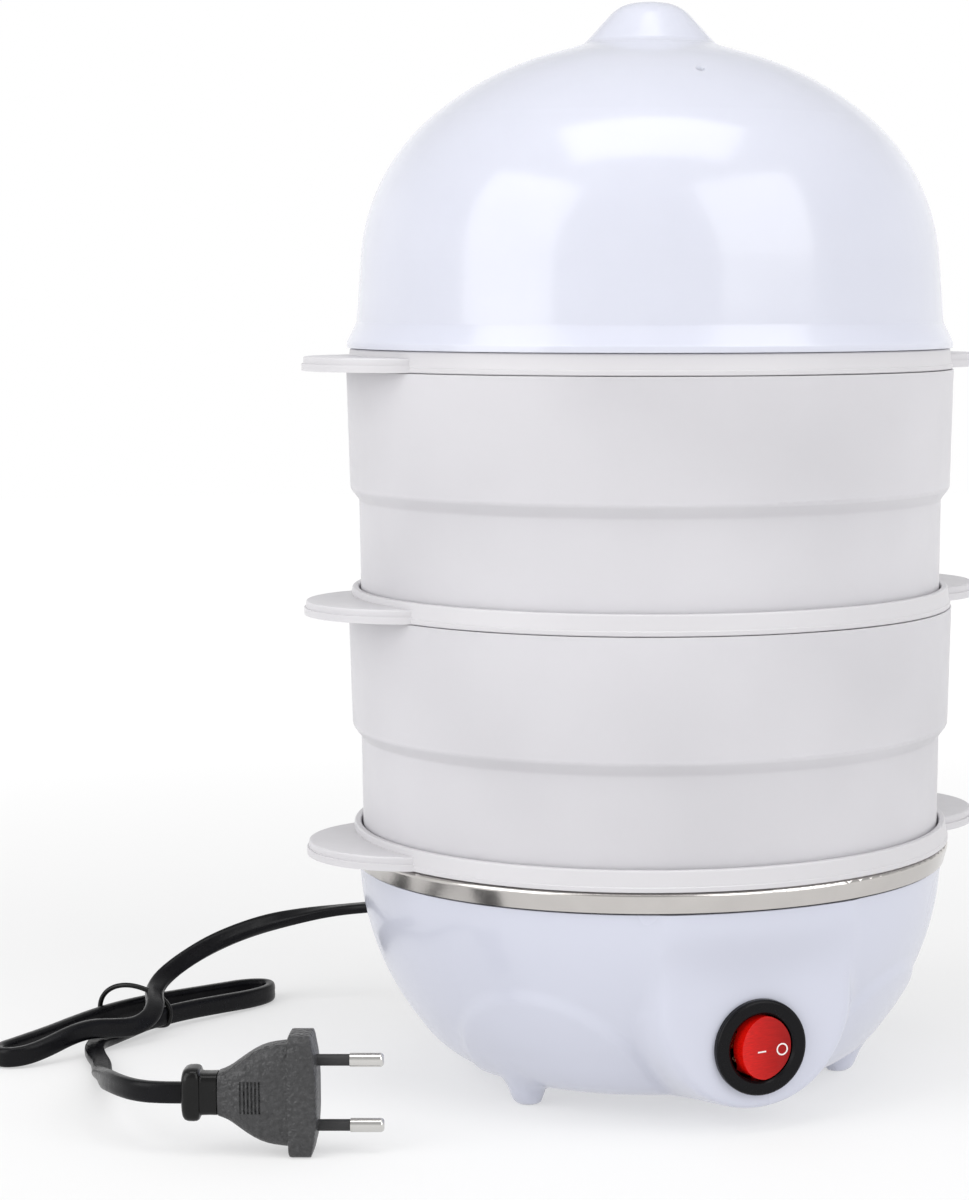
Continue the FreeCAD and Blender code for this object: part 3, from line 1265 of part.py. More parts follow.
def plug_body():
    """Flange and flared body with grip ribs on both broad sides."""
    flange_start = -PLUG_FLANGE_LENGTH
    flange_wire = rounded_box_wire(PLUG_FLANGE_HEIGHT, PLUG_FLANGE_WIDTH, PLUG_FLANGE_CORNER, flange_start)
    flange = Part.Face(flange_wire).extrude(X_AXIS * PLUG_FLANGE_LENGTH)
    flare_length = PLUG_LENGTH - PLUG_FLANGE_LENGTH
    length_share = [0.0, 0.28, 0.55, 0.82, 1.0]
    height_share = [1.0, 0.94, 0.66, 0.16, 0.0]
    width_share = [1.0, 0.97, 0.86, 0.4, 0.0]
    wires = []
    for along, tall, wide in zip(length_share, height_share, width_share):
        height = PLUG_NECK_HEIGHT + (PLUG_SHOULDER_HEIGHT - PLUG_NECK_HEIGHT) * tall
        width = PLUG_NECK_WIDTH + (PLUG_SHOULDER_WIDTH - PLUG_NECK_WIDTH) * wide
        place = -PLUG_FLANGE_LENGTH - flare_length * along
        wires.append(rounded_box_wire(height, width, PLUG_BODY_CORNER, place))
    body = flange.fuse(Part.makeLoft(wires, True, False))
    outer = PLUG_SHOULDER_WIDTH / 2 + GRIP_RIB_RISE - WELD
    inner = PLUG_SHOULDER_WIDTH / 4
    for side in (-1, 1):
        for index in range(GRIP_RIB_COUNT):
            place_x = -GRIP_RIB_START - (index - (GRIP_RIB_COUNT - 1) / 2) * GRIP_RIB_PITCH
            centre = vec(place_x, side * (inner + outer) / 2, 0)
            body = body.fuse(block(GRIP_RIB_WIDTH, outer - inner, GRIP_RIB_HEIGHT, centre))
    for side in (-1, 1):
        start = vec(-PIN_ROOT, 0, side * PIN_SPACING / 2)
        body = body.cut(cylinder(PIN_SLEEVE_RADIUS + TOUCH_GAP, PIN_ROOT + OVERRUN, start, X_AXIS))
    return placed_plug(body)


def plug_strain_relief():
    """Neck and collar between the plug's body and the cord."""
    start = -PLUG_LENGTH - TOUCH_GAP
    neck = Part.Face(rounded_box_wire(PLUG_NECK_HEIGHT, PLUG_NECK_WIDTH, PLUG_BODY_CORNER, start))
    neck = neck.extrude(X_AXIS * -PLUG_NECK_LENGTH)
    collar_start = start - PLUG_NECK_LENGTH + WELD
    collar_wire = rounded_box_wire(PLUG_COLLAR_HEIGHT, PLUG_COLLAR_WIDTH, PLUG_BODY_CORNER, collar_start)
    collar = Part.Face(collar_wire).extrude(X_AXIS * -(PLUG_COLLAR_LENGTH + WELD))
    return placed_plug(neck.fuse(collar))


def plug_pins():
    """Metal pins; each runs through its sleeve into the body."""
    pins = []
    for side in (-1, 1):
        height = side * PIN_SPACING / 2
        core_radius = PIN_SLEEVE_RADIUS / 2
        core_start = vec(TOUCH_GAP - PIN_ROOT, 0, height)
        core = cylinder(core_radius, PIN_ROOT + PIN_SLEEVE_LENGTH, core_start, X_AXIS)
        tip = cylinder(PIN_RADIUS, PIN_LENGTH - PIN_SLEEVE_LENGTH, vec(PIN_SLEEVE_LENGTH, 0, height), X_AXIS)
        end = [edge for edge in tip.Edges if edge.CenterOfMass.x > PIN_LENGTH - TOUCH_GAP]
        tip = tip.makeFillet(PIN_RADIUS / 2, end)
        pins.append(placed_plug(core.fuse(tip)))
    return pins


def plug_pin_sleeves():
    """Insulating sleeves on the root half of the pins."""
    sleeves = []
    for side in (-1, 1):
        height = side * PIN_SPACING / 2
        start = vec(TOUCH_GAP - PIN_ROOT, 0, height)
        length = PIN_ROOT + PIN_SLEEVE_LENGTH - 2 * TOUCH_GAP
        sleeve = cylinder(PIN_SLEEVE_RADIUS, length, start, X_AXIS)
        bore = cylinder(PIN_SLEEVE_RADIUS / 2 + TOUCH_GAP, length, start, X_AXIS)
        sleeves.append(placed_plug(sleeve.cut(bore)))
    return sleeves


# Internal wires

def connector_places():
    """Centre, size and direction of each push-on connector."""
    switch_y = BARREL_BACK_Y + BLADE_LENGTH + BLADE_INSET - CONNECTOR_LENGTH / 2
    places = []
    for index in (-1, 1):
        centre = vec(index * SWITCH_BLADE_OFFSET, switch_y, SWITCH_Z)
        places.append((centre, vec(CONNECTOR_THICKNESS, CONNECTOR_LENGTH, SMALL_CONNECTOR_WIDTH)))
    stat_x = THERMOSTAT_BODY_RADIUS + BLADE_LENGTH + BLADE_INSET - CONNECTOR_LENGTH / 2
    for side in (-1, 1):
        centre = vec(side * stat_x, 0, thermostat_blade_z())
        places.append((centre, vec(CONNECTOR_LENGTH, CONNECTOR_WIDTH, CONNECTOR_THICKNESS)))
    return places


def wire_connectors():
    """Push-on connectors over the blades of the switch and the thermostat."""
    connectors = []
    blades = switch_terminals() + thermostat_terminals()
    for centre, size in connector_places():
        sleeve = block(size.x, size.y, size.z, centre)
        for blade in blades:
            if blade.BoundBox.intersect(sleeve.BoundBox):
                box = blade.BoundBox
                room = block(box.XLength + 2 * TOUCH_GAP, box.YLength + 2 * TOUCH_GAP,
                             box.ZLength + 2 * TOUCH_GAP, box.Center)
                sleeve = sleeve.cut(room)
        connectors.append(sleeve)
    return connectors


def shared_points(shares):
    """Points given as shares of the plate's radius, twice, and of its height."""
    return [vec(x * PLATE_RADIUS, y * PLATE_RADIUS, z * PLATE_BOTTOM_Z) for x, y, z in shares]


def internal_wires():
    """The five insulated wires, each straight for a little way out of what it meets."""
    left_switch, right_switch, left_stat, right_stat = [centre for centre, _ in connector_places()]
    from_switch = Y_AXIS * (CONNECTOR_LENGTH / 2 + TOUCH_GAP)
    from_stat = X_AXIS * (CONNECTOR_LENGTH / 2 + TOUCH_GAP)
    inward = cord_direction() * -FIRST_BEND
    lead_in = cord_place(SHEATH_END - TOUCH_GAP, CORD_TUBE_RADIUS / 2)
    lead_out = cord_place(SHEATH_END - TOUCH_GAP, -CORD_TUBE_RADIUS / 2)
    below_pin = Z_AXIS * (END_SEAL_LENGTH + TERMINAL_PIN_LENGTH + 2 * TOUCH_GAP)
    left_pin = element_leg_place(-1) - below_pin
    right_pin = element_leg_place(1) - below_pin
    fuse_front = vec(FUSE_X, FUSE_START_Y - FUSE_LENGTH - TOUCH_GAP, FUSE_Z)
    fuse_back = vec(FUSE_X, FUSE_START_Y + TOUCH_GAP, FUSE_Z)
    ahead = Y_AXIS * (FIRST_BEND - CORD_TUBE_RADIUS)
    down = Z_AXIS * (FIRST_BEND - CORD_TUBE_RADIUS)
    aside = X_AXIS * (FIRST_BEND - CORD_TUBE_RADIUS)
    live = [lead_in, lead_in + inward] + shared_points(LIVE_WIRE_SHARES)
    live += [left_switch + from_switch + ahead, left_switch + from_switch]
    neutral = [lead_out, lead_out + inward] + shared_points(NEUTRAL_WIRE_SHARES)
    neutral += [right_pin - down, right_pin]
    to_stat = [right_switch + from_switch, right_switch + from_switch + ahead]
    to_stat += shared_points(SWITCH_WIRE_SHARES)
    to_stat += [right_stat + from_stat + aside, right_stat + from_stat]
    to_fuse = [left_stat - from_stat, left_stat - from_stat - aside, fuse_back + ahead, fuse_back]
    to_element = [fuse_front, fuse_front - ahead] + shared_points(FUSE_WIRE_SHARES)
    to_element += [left_pin - down, left_pin]
    return {
        "wire_live": live, "wire_neutral": neutral, "wire_switch_to_thermostat": to_stat,
        "wire_thermostat_to_fuse": to_fuse, "wire_fuse_to_element": to_element,
    }


def all_pieces():
    """Every node by name, as a list of its solids."""
    pieces = {
        "base_housing": [base_housing()],
        "heating_pan": [heating_pan()],
        "pan_seal": [pan_seal()],
        "heat_spreader_plate": [heat_spreader_plate()],
        "heating_element": [heating_element()],
        "element_end_seals": element_end_seals(),
        "element_terminals": element_terminals(),
        "pan_weld_nuts": pan_weld_nuts(),
        "pan_fixing_screws": pan_fixing_screws(),
        "thermostat_body": [thermostat_body()],
        "thermostat_bracket": [thermostat_bracket()],
        "thermostat_screws": thermostat_screws(),
        "thermostat_terminals": thermostat_terminals(),
        "thermal_fuse": [thermal_fuse()],
        "egg_tray_lower": [egg_tray(0)],
        "egg_tray_middle": [egg_tray(1)],
        "egg_tray_upper": [egg_tray(2)],
        "tier_lower": [tier_ring(0)],
        "tier_upper": [tier_ring(1)],
        "lid_dome": [lid_dome()],
        "switch_housing": [switch_housing()],
        "switch_rocker": [switch_rocker()],
        "switch_plunger": [switch_plunger()],
        "switch_contact_lever": [switch_contact_lever()],
        "switch_terminals": switch_terminals(),
        "switch_lamp": [switch_lamp()],
        "cord_bushing": [cord_bushing()],
        "cord_inner_sheath": [cord_inner_sheath()],
        "cord_clamp": [cord_clamp()],
        "cord_clamp_screws": cord_clamp_screws(),
        "wire_connectors": wire_connectors(),
        "cord_tie": [cord_tie()],
        "plug_body": [plug_body()],
        "plug_strain_relief": [plug_strain_relief()],
        "plug_pins": plug_pins(),
        "plug_pin_sleeves": plug_pin_sleeves(),
    }
    for name, points in internal_wires().items():
        pieces[name] = [wire_tube(points, name)]
    names = ("power_cord_lead", "power_cord_hank", "power_cord_tail")
    for name, runs in zip(names, split_route()):
        pieces[name] = [tube(runs, CORD_TUBE_RADIUS, name)]
        print_gap_to_itself(runs, CORD_TUBE_RADIUS, name)
    return pieces


def main():
    """Write one file per node."""
    os.makedirs("parts", exist_ok=True)
    for name, solids in all_pieces().items():
        shape = solids[0] if len(solids) == 1 else Part.makeCompound(solids)
        shape.exportStep(f"parts/{name}.step")
        print(f"{name}: solids {len(shape.Solids)}, valid {shape.isValid()}, volume {shape.Volume:.1f}")


main()
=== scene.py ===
"""Looks of a three-tray electric egg boiler: its finishes, moulded shells, cord, lamps and camera.

Metres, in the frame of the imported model: Z up, the switch towards -Y, the tray ears along X.
"""
from __future__ import annotations

import logging
import math
from dataclasses import dataclass
from enum import Enum
from typing import Iterable, Sequence

import bmesh
import bpy
import numpy as np
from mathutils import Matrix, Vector


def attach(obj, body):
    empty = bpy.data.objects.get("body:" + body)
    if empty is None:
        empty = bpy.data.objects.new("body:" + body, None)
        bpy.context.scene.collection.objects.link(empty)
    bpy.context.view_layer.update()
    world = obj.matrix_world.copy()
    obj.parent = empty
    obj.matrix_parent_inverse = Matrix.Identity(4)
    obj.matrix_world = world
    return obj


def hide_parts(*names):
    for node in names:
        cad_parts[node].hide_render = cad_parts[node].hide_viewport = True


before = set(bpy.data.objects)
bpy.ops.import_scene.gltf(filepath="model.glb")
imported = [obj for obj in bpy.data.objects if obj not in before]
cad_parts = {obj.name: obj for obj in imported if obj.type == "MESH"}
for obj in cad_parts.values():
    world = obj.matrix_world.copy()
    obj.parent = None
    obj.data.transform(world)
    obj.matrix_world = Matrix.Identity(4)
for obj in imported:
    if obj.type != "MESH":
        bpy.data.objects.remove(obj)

LOG = logging.getLogger("egg_boiler")
MM = 0.001

WAVE_PERIOD = 0.314  # distance between the bands of a wave pattern at scale 1
PLASTIC_INDEX = 1.49
COAT_ROUGHNESS = 0.06
ALL_SMOOTH = 180.0  # edge angle in degrees that leaves no edge sharp

Colour = tuple[float, float, float]
Point = tuple[float, float, float]
Corner = tuple[float, float, float]
Socket = bpy.types.NodeSocket


# Small tools for shader nodes

@dataclass
class NodeBench:
    """One material's node tree with its Principled shader, and short ways to add to it.

    Attributes:
        material: The material being made.
    """

    material: bpy.types.Material

    def __post_init__(self) -> None:
        """Clears the tree and puts in an output and a Principled shader."""
        self.material.use_nodes = True
        self.tree = self.material.node_tree
        self.tree.nodes.clear()
        output = self.tree.nodes.new("ShaderNodeOutputMaterial")
        self.shader = self.tree.nodes.new("ShaderNodeBsdfPrincipled")
        self.tree.links.new(self.shader.outputs["BSDF"], output.inputs["Surface"])
        self.place = self.tree.nodes.new("ShaderNodeTexCoord").outputs["Object"]

    def set(self, **values: object) -> None:
        """Sets the shader's own sockets, spaces in their names written as underscores."""
        for name, value in values.items():
            self.shader.inputs[name.replace("_", " ")].default_value = value

    def noise(self, size: float, detail: float = 2.0, stretch: Point = (1.0, 1.0, 1.0)) -> Socket:
        """Adds a noise pattern.

        Args:
            size: Width of one blot in metres.
            detail: Octaves of finer noise.
            stretch: How much the pattern is squeezed along each axis.

        Returns:
            The pattern's value, from 0 to 1.
        """
        mapping = self.tree.nodes.new("ShaderNodeMapping")
        mapping.inputs["Scale"].default_value = stretch
        self.tree.links.new(self.place, mapping.inputs["Vector"])
        pattern = self.tree.nodes.new("ShaderNodeTexNoise")
        pattern.inputs["Scale"].default_value = 1.0 / size
        pattern.inputs["Detail"].default_value = detail
        self.tree.links.new(mapping.outputs["Vector"], pattern.inputs["Vector"])
        return pattern.outputs["Fac"]

    def span(self, value: Socket, low: float, high: float,
             start: float = 0.3, end: float = 0.7) -> Socket:
        """Maps a pattern's middle range to a span of values.

        Args:
            value: The pattern.
            low: Result at or under start.
            high: Result at or over end.
            start: Pattern value that gives low.
            end: Pattern value that gives high.

        Returns:
            The mapped value.
        """
        node = self.tree.nodes.new("ShaderNodeMapRange")
        node.inputs["From Min"].default_value = start
        node.inputs["From Max"].default_value = end
        node.inputs["To Min"].default_value = low
        node.inputs["To Max"].default_value = high
        self.tree.links.new(value, node.inputs["Value"])
        return node.outputs["Result"]

    def tint(self, factor: Socket, dark: Colour, light: Colour) -> Socket:
        """Mixes two colours by a pattern.

        Args:
            factor: The pattern, 0 for dark and 1 for light.
            dark: Colour at 0.
            light: Colour at 1.

        Returns:
            The mixed colour.
        """
        node = self.tree.nodes.new("ShaderNodeMix")
        node.data_type = "RGBA"
        node.inputs["A"].default_value = (*dark, 1.0)
        node.inputs["B"].default_value = (*light, 1.0)
        self.tree.links.new(factor, node.inputs["Factor"])
        return node.outputs["Result"]

    def link(self, value: Socket, name: str) -> None:
        """Joins a value to one of the shader's sockets."""
        self.tree.links.new(value, self.shader.inputs[name])

    def times(self, first: Socket, second: Socket) -> Socket:
        """Multiplies two patterns.

        Args:
            first: One pattern.
            second: The other.

        Returns:
            Their product.
        """
        node = self.tree.nodes.new("ShaderNodeMath")
        node.operation = "MULTIPLY"
        self.tree.links.new(first, node.inputs[0])
        self.tree.links.new(second, node.inputs[1])
        return node.outputs["Value"]

    def bump(self, height: Socket, depth: float) -> Socket:
        """Adds a bump.

        Args:
            height: Pattern of heights, 0 to 1.
            depth: Height of 1, in metres.

        Returns:
            The bumped normal.
        """
        node = self.tree.nodes.new("ShaderNodeBump")
        node.inputs["Distance"].default_value = depth
        node.inputs["Strength"].default_value = 1.0
        self.tree.links.new(height, node.inputs["Height"])
        return node.outputs["Normal"]


def shade(colour: Colour, factor: float) -> Colour:
    """Returns a colour made darker or lighter by a factor."""
    return (min(colour[0] * factor, 1.0), min(colour[1] * factor, 1.0), min(colour[2] * factor, 1.0))


# Finishes

class MouldSurface(Enum):
    """How a moulded plastic's skin was cut in its mould: grain width and depth in metres."""

    POLISHED = (0.012, 0.00002)
    SATIN = (0.0009, 0.000012)
    SPARK = (0.0007, 0.00009)
    LEATHER = (0.0013, 0.0008)


@dataclass(frozen=True)
class MouldedPlastic:
    """A moulded plastic, with slow ripples or grain in its skin and slight clouding of its colour.

    Attributes:
        name: Material name.
        colour: Base colour, linear.
        roughness: Mean roughness.
        surface: How its skin was cut.
        clouding: Share by which its colour varies.
        glow: Subsurface weight, for milky plastics.
        depth: How far light travels in it, in metres.
        clear: Transmission weight, for see-through plastics.
        coat: Weight of the clear gloss on top.
        cloud_size: Width of a cloud in metres.
        shine: Strength of its reflections, 0.5 for a plain plastic.
    """

    name: str
    colour: Colour
    roughness: float
    surface: MouldSurface = MouldSurface.SATIN
    clouding: float = 0.03
    glow: float = 0.0
    depth: float = 0.004
    clear: float = 0.0
    coat: float = 0.0
    cloud_size: float = 0.03
    shine: float = 0.5

    def material(self) -> bpy.types.Material:
        """Makes the material.

        Returns:
            The finished material.
        """
        made = bpy.data.materials.new(self.name)
        bench = NodeBench(made)
        clouds = bench.noise(self.cloud_size, 2.0)
        dark = shade(self.colour, 1.0 - self.clouding)
        cloudy = bench.span(clouds, 0.0, 1.0, 0.2, 0.75)
        bench.link(bench.tint(cloudy, dark, self.colour), "Base Color")
        polished = self.surface is MouldSurface.POLISHED
        scuffs = bench.noise(0.02 if polished else 0.006, 0.0 if polished else 4.0)
        rough = bench.span(scuffs, self.roughness * 0.85, min(self.roughness * 1.2, 1.0), 0.1, 0.9)
        bench.link(rough, "Roughness")
        width, height = self.surface.value
        bench.link(bench.bump(bench.noise(width, 1.0), height), "Normal")
        bench.set(IOR=PLASTIC_INDEX, Subsurface_Weight=self.glow, Subsurface_Radius=(1.0, 1.0, 1.0),
                  Subsurface_Scale=self.depth, Transmission_Weight=self.clear, Coat_Weight=self.coat,
                  Coat_Roughness=COAT_ROUGHNESS, Specular_IOR_Level=self.shine)
        return made


@dataclass(frozen=True)
class PaintedLightPlastic:
    """A clear coloured plastic with painted light: a painted highlight at its raised side fading to painted
    shade at its sunk side, a painted glow as if the lamp behind it were lit, and ribs along its wall.

    Attributes:
        name: Material name.
        bright: Colour of the painted highlight at the raised side, linear.
        deep: Colour of the painted shade at the sunk side.
        reach: Where along X the painted highlight starts to fade and where the painted shade is full, in
            metres.
        wall: Where along X the ribbed wall ends, in metres.
        rib: Distance between ribs in metres.
        rib_depth: Depth of the ribs in metres.
        streak: Width of a streak in metres.
    """

    name: str
    bright: Colour
    deep: Colour
    reach: tuple[float, float]
    wall: float
    rib: float = 0.0006
    rib_depth: float = 0.00006
    streak: float = 0.0007

    def material(self) -> bpy.types.Material:
        """Makes the material.

        Returns:
            The finished material.
        """
        made = bpy.data.materials.new(self.name)
        bench = NodeBench(made)
        split = bench.tree.nodes.new("ShaderNodeSeparateXYZ")
        bench.tree.links.new(bench.place, split.inputs["Vector"])
        # Painted light along X: 1 gives the painted highlight at the raised side, 0 the painted shade at the
        # sunk side.
        across = bench.span(split.outputs["X"], 1.0, 0.0, *self.reach)
        streaks = bench.noise(self.streak, 2.0, (0.25, 1.0, 3.0))
        # The painted highlight and painted shade, broken up by the plastic's own streaks.
        streaked_painted_light = bench.times(across, bench.span(streaks, 0.55, 1.0))
        colour = bench.tint(streaked_painted_light, self.deep, self.bright)
        bench.link(colour, "Base Color")
        # Painted glow: the same colour is also emitted, as if the lamp behind were lit.
        bench.link(colour, "Emission Color")
        bench.link(bench.span(streaks, 0.14, 0.24), "Roughness")
        ribs = bench.tree.nodes.new("ShaderNodeTexWave")
        ribs.bands_direction = "Z"
        ribs.inputs["Scale"].default_value = WAVE_PERIOD / self.rib
        bench.tree.links.new(bench.place, ribs.inputs["Vector"])
        on_wall = bench.span(split.outputs["X"], 1.0, 0.0, self.wall - self.rib, self.wall)
        carved = bench.times(ribs.outputs["Fac"], on_wall)
        bench.link(bench.bump(carved, self.rib_depth), "Normal")
        # Emission_Strength sets the strength of the painted glow.
        bench.set(IOR=PLASTIC_INDEX, Subsurface_Weight=0.2, Subsurface_Radius=(1.0, 0.2, 0.1),
                  Subsurface_Scale=0.002, Specular_IOR_Level=0.2, Coat_Weight=0.1,
                  Coat_Roughness=COAT_ROUGHNESS, Emission_Strength=0.12)
        return made


@dataclass(frozen=True)
class SheetMetal:
    """A rolled or pressed metal with fine rubbing marks along one direction.

    Attributes:
        name: Material name.
        colour: Base colour, linear.
        roughness: Mean roughness.
        marks: Width of a rubbing mark in metres.
        stretch: How much the marks are squeezed along each axis.
        depth: Depth of the marks in metres.
    """

    name: str
    colour: Colour
    roughness: float
    marks: float = 0.0006
    stretch: Point = (1.0, 1.0, 8.0)
    depth: float = 0.000003

    def material(self) -> bpy.types.Material:
        """Makes the material.

        Returns:
            The finished material.
        """
        made = bpy.data.materials.new(self.name)
        bench = NodeBench(made)
        tarnish = bench.noise(0.02, 4.0)
        dull = shade(self.colour, 0.9)
        bench.link(bench.tint(bench.span(tarnish, 0.0, 1.0), dull, self.colour), "Base Color")
        rubbed = bench.noise(self.marks, 2.0, self.stretch)
        bench.link(bench.span(rubbed, self.roughness * 0.7, self.roughness * 1.35), "Roughness")
        bench.link(bench.bump(rubbed, self.depth), "Normal")
        bench.set(Metallic=1.0)
        return made


@dataclass(frozen=True)
class SoftRubber:
    """Rubber or soft PVC with a faint orange-peel skin and dust in scattered patches.

    Attributes:
        name: Material name.
        colour: Base colour, linear.
        roughness: Mean roughness.
        peel: Width of the skin's pattern in metres.
        depth: Depth of the skin's pattern in metres.
        dust: Colour of the dust.
        shine: Strength of its reflections, 0.5 for a plain plastic.
    """

    name: str
    colour: Colour
    roughness: float
    peel: float = 0.0012
    depth: float = 0.00002
    dust: Colour = (0.09, 0.09, 0.09)
    shine: float = 0.2

    def material(self) -> bpy.types.Material:
        """Makes the material.

        Returns:
            The finished material.
        """
        made = bpy.data.materials.new(self.name)
        bench = NodeBench(made)
        dusty = bench.span(bench.noise(0.009, 5.0), 0.0, 0.35, 0.45, 0.8)
        bench.link(bench.tint(dusty, self.colour, self.dust), "Base Color")
        peel = bench.noise(self.peel, 2.0)
        bench.link(bench.span(peel, self.roughness * 0.85, self.roughness * 1.2), "Roughness")
        bench.link(bench.bump(peel, self.depth), "Normal")
        bench.set(IOR=1.5, Specular_IOR_Level=self.shine)
        return made


@dataclass(frozen=True)
class Finishes:
    """Every finish of the boiler."""

    base_white: MouldedPlastic = MouldedPlastic(
        "BaseWhiteGloss", (0.57, 0.585, 0.675), 0.24, MouldSurface.POLISHED, 0.02, coat=0.3)
    lid_milk: MouldedPlastic = MouldedPlastic(
        "LidMilkyGloss", (0.605, 0.62, 0.71), 0.17, MouldSurface.POLISHED, 0.03, 0.35, 0.006, coat=0.2)
    tier_milk: MouldedPlastic = MouldedPlastic(
        "TierMilkySatin", (0.625, 0.615, 0.645), 0.42, MouldSurface.SATIN, 0.16, 0.45, 0.005, cloud_size=0.07)
    tray_white: MouldedPlastic = MouldedPlastic(
        "TrayWhiteSatin", (0.585, 0.575, 0.595), 0.38, MouldSurface.SATIN, 0.02, 0.15, 0.002)
    bezel_black: MouldedPlastic = MouldedPlastic(
        "BezelBlack", (0.004, 0.004, 0.005), 0.26, MouldSurface.SATIN, 0.1, shine=0.15)
    # The rocker's red, with a painted highlight at its raised side, painted shade at its sunk side and a
    # painted glow.
    rocker_red: PaintedLightPlastic = PaintedLightPlastic(
        "RockerRed", (0.62, 0.006, 0.003), (0.22, 0.001, 0.001), (-0.005, 0.0095), -0.0062)
    mark_white: MouldedPlastic = MouldedPlastic(
        "MarkWhite", (0.85, 0.82, 0.80), 0.45, MouldSurface.SATIN, 0.02)
    plug_charcoal: MouldedPlastic = MouldedPlastic(
        "PlugCharcoal", (0.050, 0.050, 0.052), 0.38, MouldSurface.LEATHER, 0.5, cloud_size=0.0012, shine=0.45)
    phenolic_brown: MouldedPlastic = MouldedPlastic(
        "PhenolicBrown", (0.09, 0.035, 0.016), 0.4, MouldSurface.SATIN, 0.2)
    clamp_black: MouldedPlastic = MouldedPlastic(
        "ClampBlack", (0.02, 0.02, 0.021), 0.5, MouldSurface.SATIN, 0.1)
    bead_ceramic: MouldedPlastic = MouldedPlastic(
        "BeadCeramic", (0.72, 0.68, 0.60), 0.75, MouldSurface.SPARK, 0.08)
    lamp_glass: MouldedPlastic = MouldedPlastic(
        "LampGlass", (0.95, 0.62, 0.40), 0.06, MouldSurface.POLISHED, 0.05, clear=0.9)
    cord_black: SoftRubber = SoftRubber(
        "CordBlack", (0.003, 0.003, 0.004), 0.3, 0.0016, 0.00003, (0.009, 0.009, 0.011), shine=0.16)
    collar_black: SoftRubber = SoftRubber(
        "CollarBlack", (0.004, 0.004, 0.004), 0.2, 0.002, 0.00002, (0.010, 0.010, 0.010), shine=0.25)
    bushing_black: SoftRubber = SoftRubber("BushingBlack", (0.014, 0.014, 0.015), 0.48)
    seal_grey: SoftRubber = SoftRubber("SealGrey", (0.55, 0.54, 0.50), 0.6, dust=(0.4, 0.39, 0.36))
    wire_brown: SoftRubber = SoftRubber("WireBrown", (0.10, 0.035, 0.012), 0.4, dust=(0.14, 0.07, 0.04))
    wire_blue: SoftRubber = SoftRubber("WireBlue", (0.01, 0.06, 0.35), 0.4, dust=(0.05, 0.10, 0.3))
    sleeve_white: SoftRubber = SoftRubber(
        "GlassSleeveWhite", (0.72, 0.71, 0.66), 0.8, 0.0005, 0.00008, (0.5, 0.49, 0.45))
    pan_steel: SheetMetal = SheetMetal("PanSteel", (0.60, 0.575, 0.555), 0.16)
    nickel: SheetMetal = SheetMetal("PinNickel", (0.66, 0.65, 0.63), 0.18, 0.0004, (1.0, 1.0, 1.0))
    zinc: SheetMetal = SheetMetal("ZincPlate", (0.56, 0.57, 0.58), 0.34, 0.0008, (1.0, 1.0, 1.0))
    element_steel: SheetMetal = SheetMetal("ElementSteel", (0.34, 0.31, 0.28), 0.45, 0.0010, (1.0, 1.0, 1.0))
    aluminium: SheetMetal = SheetMetal("PlateAluminium", (0.72, 0.73, 0.74), 0.36, 0.0006, (1.0, 10.0, 1.0))
    brass: SheetMetal = SheetMetal("BladeBrass", (0.72, 0.50, 0.20), 0.3, 0.0005, (1.0, 6.0, 1.0))


class FinishShelf:
    """Makes each finish's material once and hands it out."""

    def __init__(self) -> None:
        """Starts with no material made."""
        self.made: dict[str, bpy.types.Material] = {}

    def take(self, finish: MouldedPlastic | PaintedLightPlastic | SheetMetal | SoftRubber) -> bpy.types.Material:
        """Returns the material of a finish, made on its first use."""
        if finish.name not in self.made:
            self.made[finish.name] = finish.material()
        return self.made[finish.name]


# Small tools for meshes

def smooth_edges(mesh: bpy.types.Mesh, degrees: float) -> None:
    """Shades a mesh smooth, apart from edges that turn by more than an angle in degrees."""
    mesh.shade_smooth()
    mesh.set_sharp_from_angle(angle=math.radians(degrees))


def link_mesh(name: str, mesh: bpy.types.Mesh, material: bpy.types.Material,
              smooth_deg: float = 40.0) -> bpy.types.Object:
    """Puts a mesh in the scene as an object with one material and smooth shading.

    Args:
        name: Object name.
        mesh: The mesh.
        material: Its material.
        smooth_deg: Edges that turn by more than this stay sharp.

    Returns:
        The new object.
    """
    piece = bpy.data.objects.new(name, mesh)
    bpy.context.scene.collection.objects.link(piece)
    mesh.materials.append(material)
    smooth_edges(mesh, smooth_deg)
    return piece


def report(piece: bpy.types.Object) -> None:
    """Logs that a piece is made."""
    LOG.info("built %s with %d faces", piece.name, len(piece.data.polygons))


def closed_mesh(bench: bmesh.types.BMesh, name: str) -> bpy.types.Mesh:
    """Turns a finished bench of faces into a mesh, its faces outwards, and frees the bench.

    Args:
        bench: The faces.
        name: Mesh name.

    Returns:
        The mesh.
    """
    bmesh.ops.recalc_face_normals(bench, faces=bench.faces)
    mesh = bpy.data.meshes.new(name)
    bench.to_mesh(mesh)
    bench.free()
    return mesh


def join_rings(bench: bmesh.types.BMesh, rings: list[list[bmesh.types.BMVert]], closed: bool = False) -> None:
    """Skins rings of points one after another.

    Args:
        bench: Where the faces go.
        rings: Rings with as many points each.
        closed: True if the last ring joins the first; otherwise both ends are capped.
    """
    following = rings[1:] + (rings[:1] if closed else [])
    for ring, other in zip(rings, following):
        for step in range(len(ring)):
            far = (step + 1) % len(ring)
            bench.faces.new([ring[step], ring[far], other[far], other[step]])
    if not closed:
        bench.faces.new(rings[0])
        bench.faces.new(list(reversed(rings[-1])))


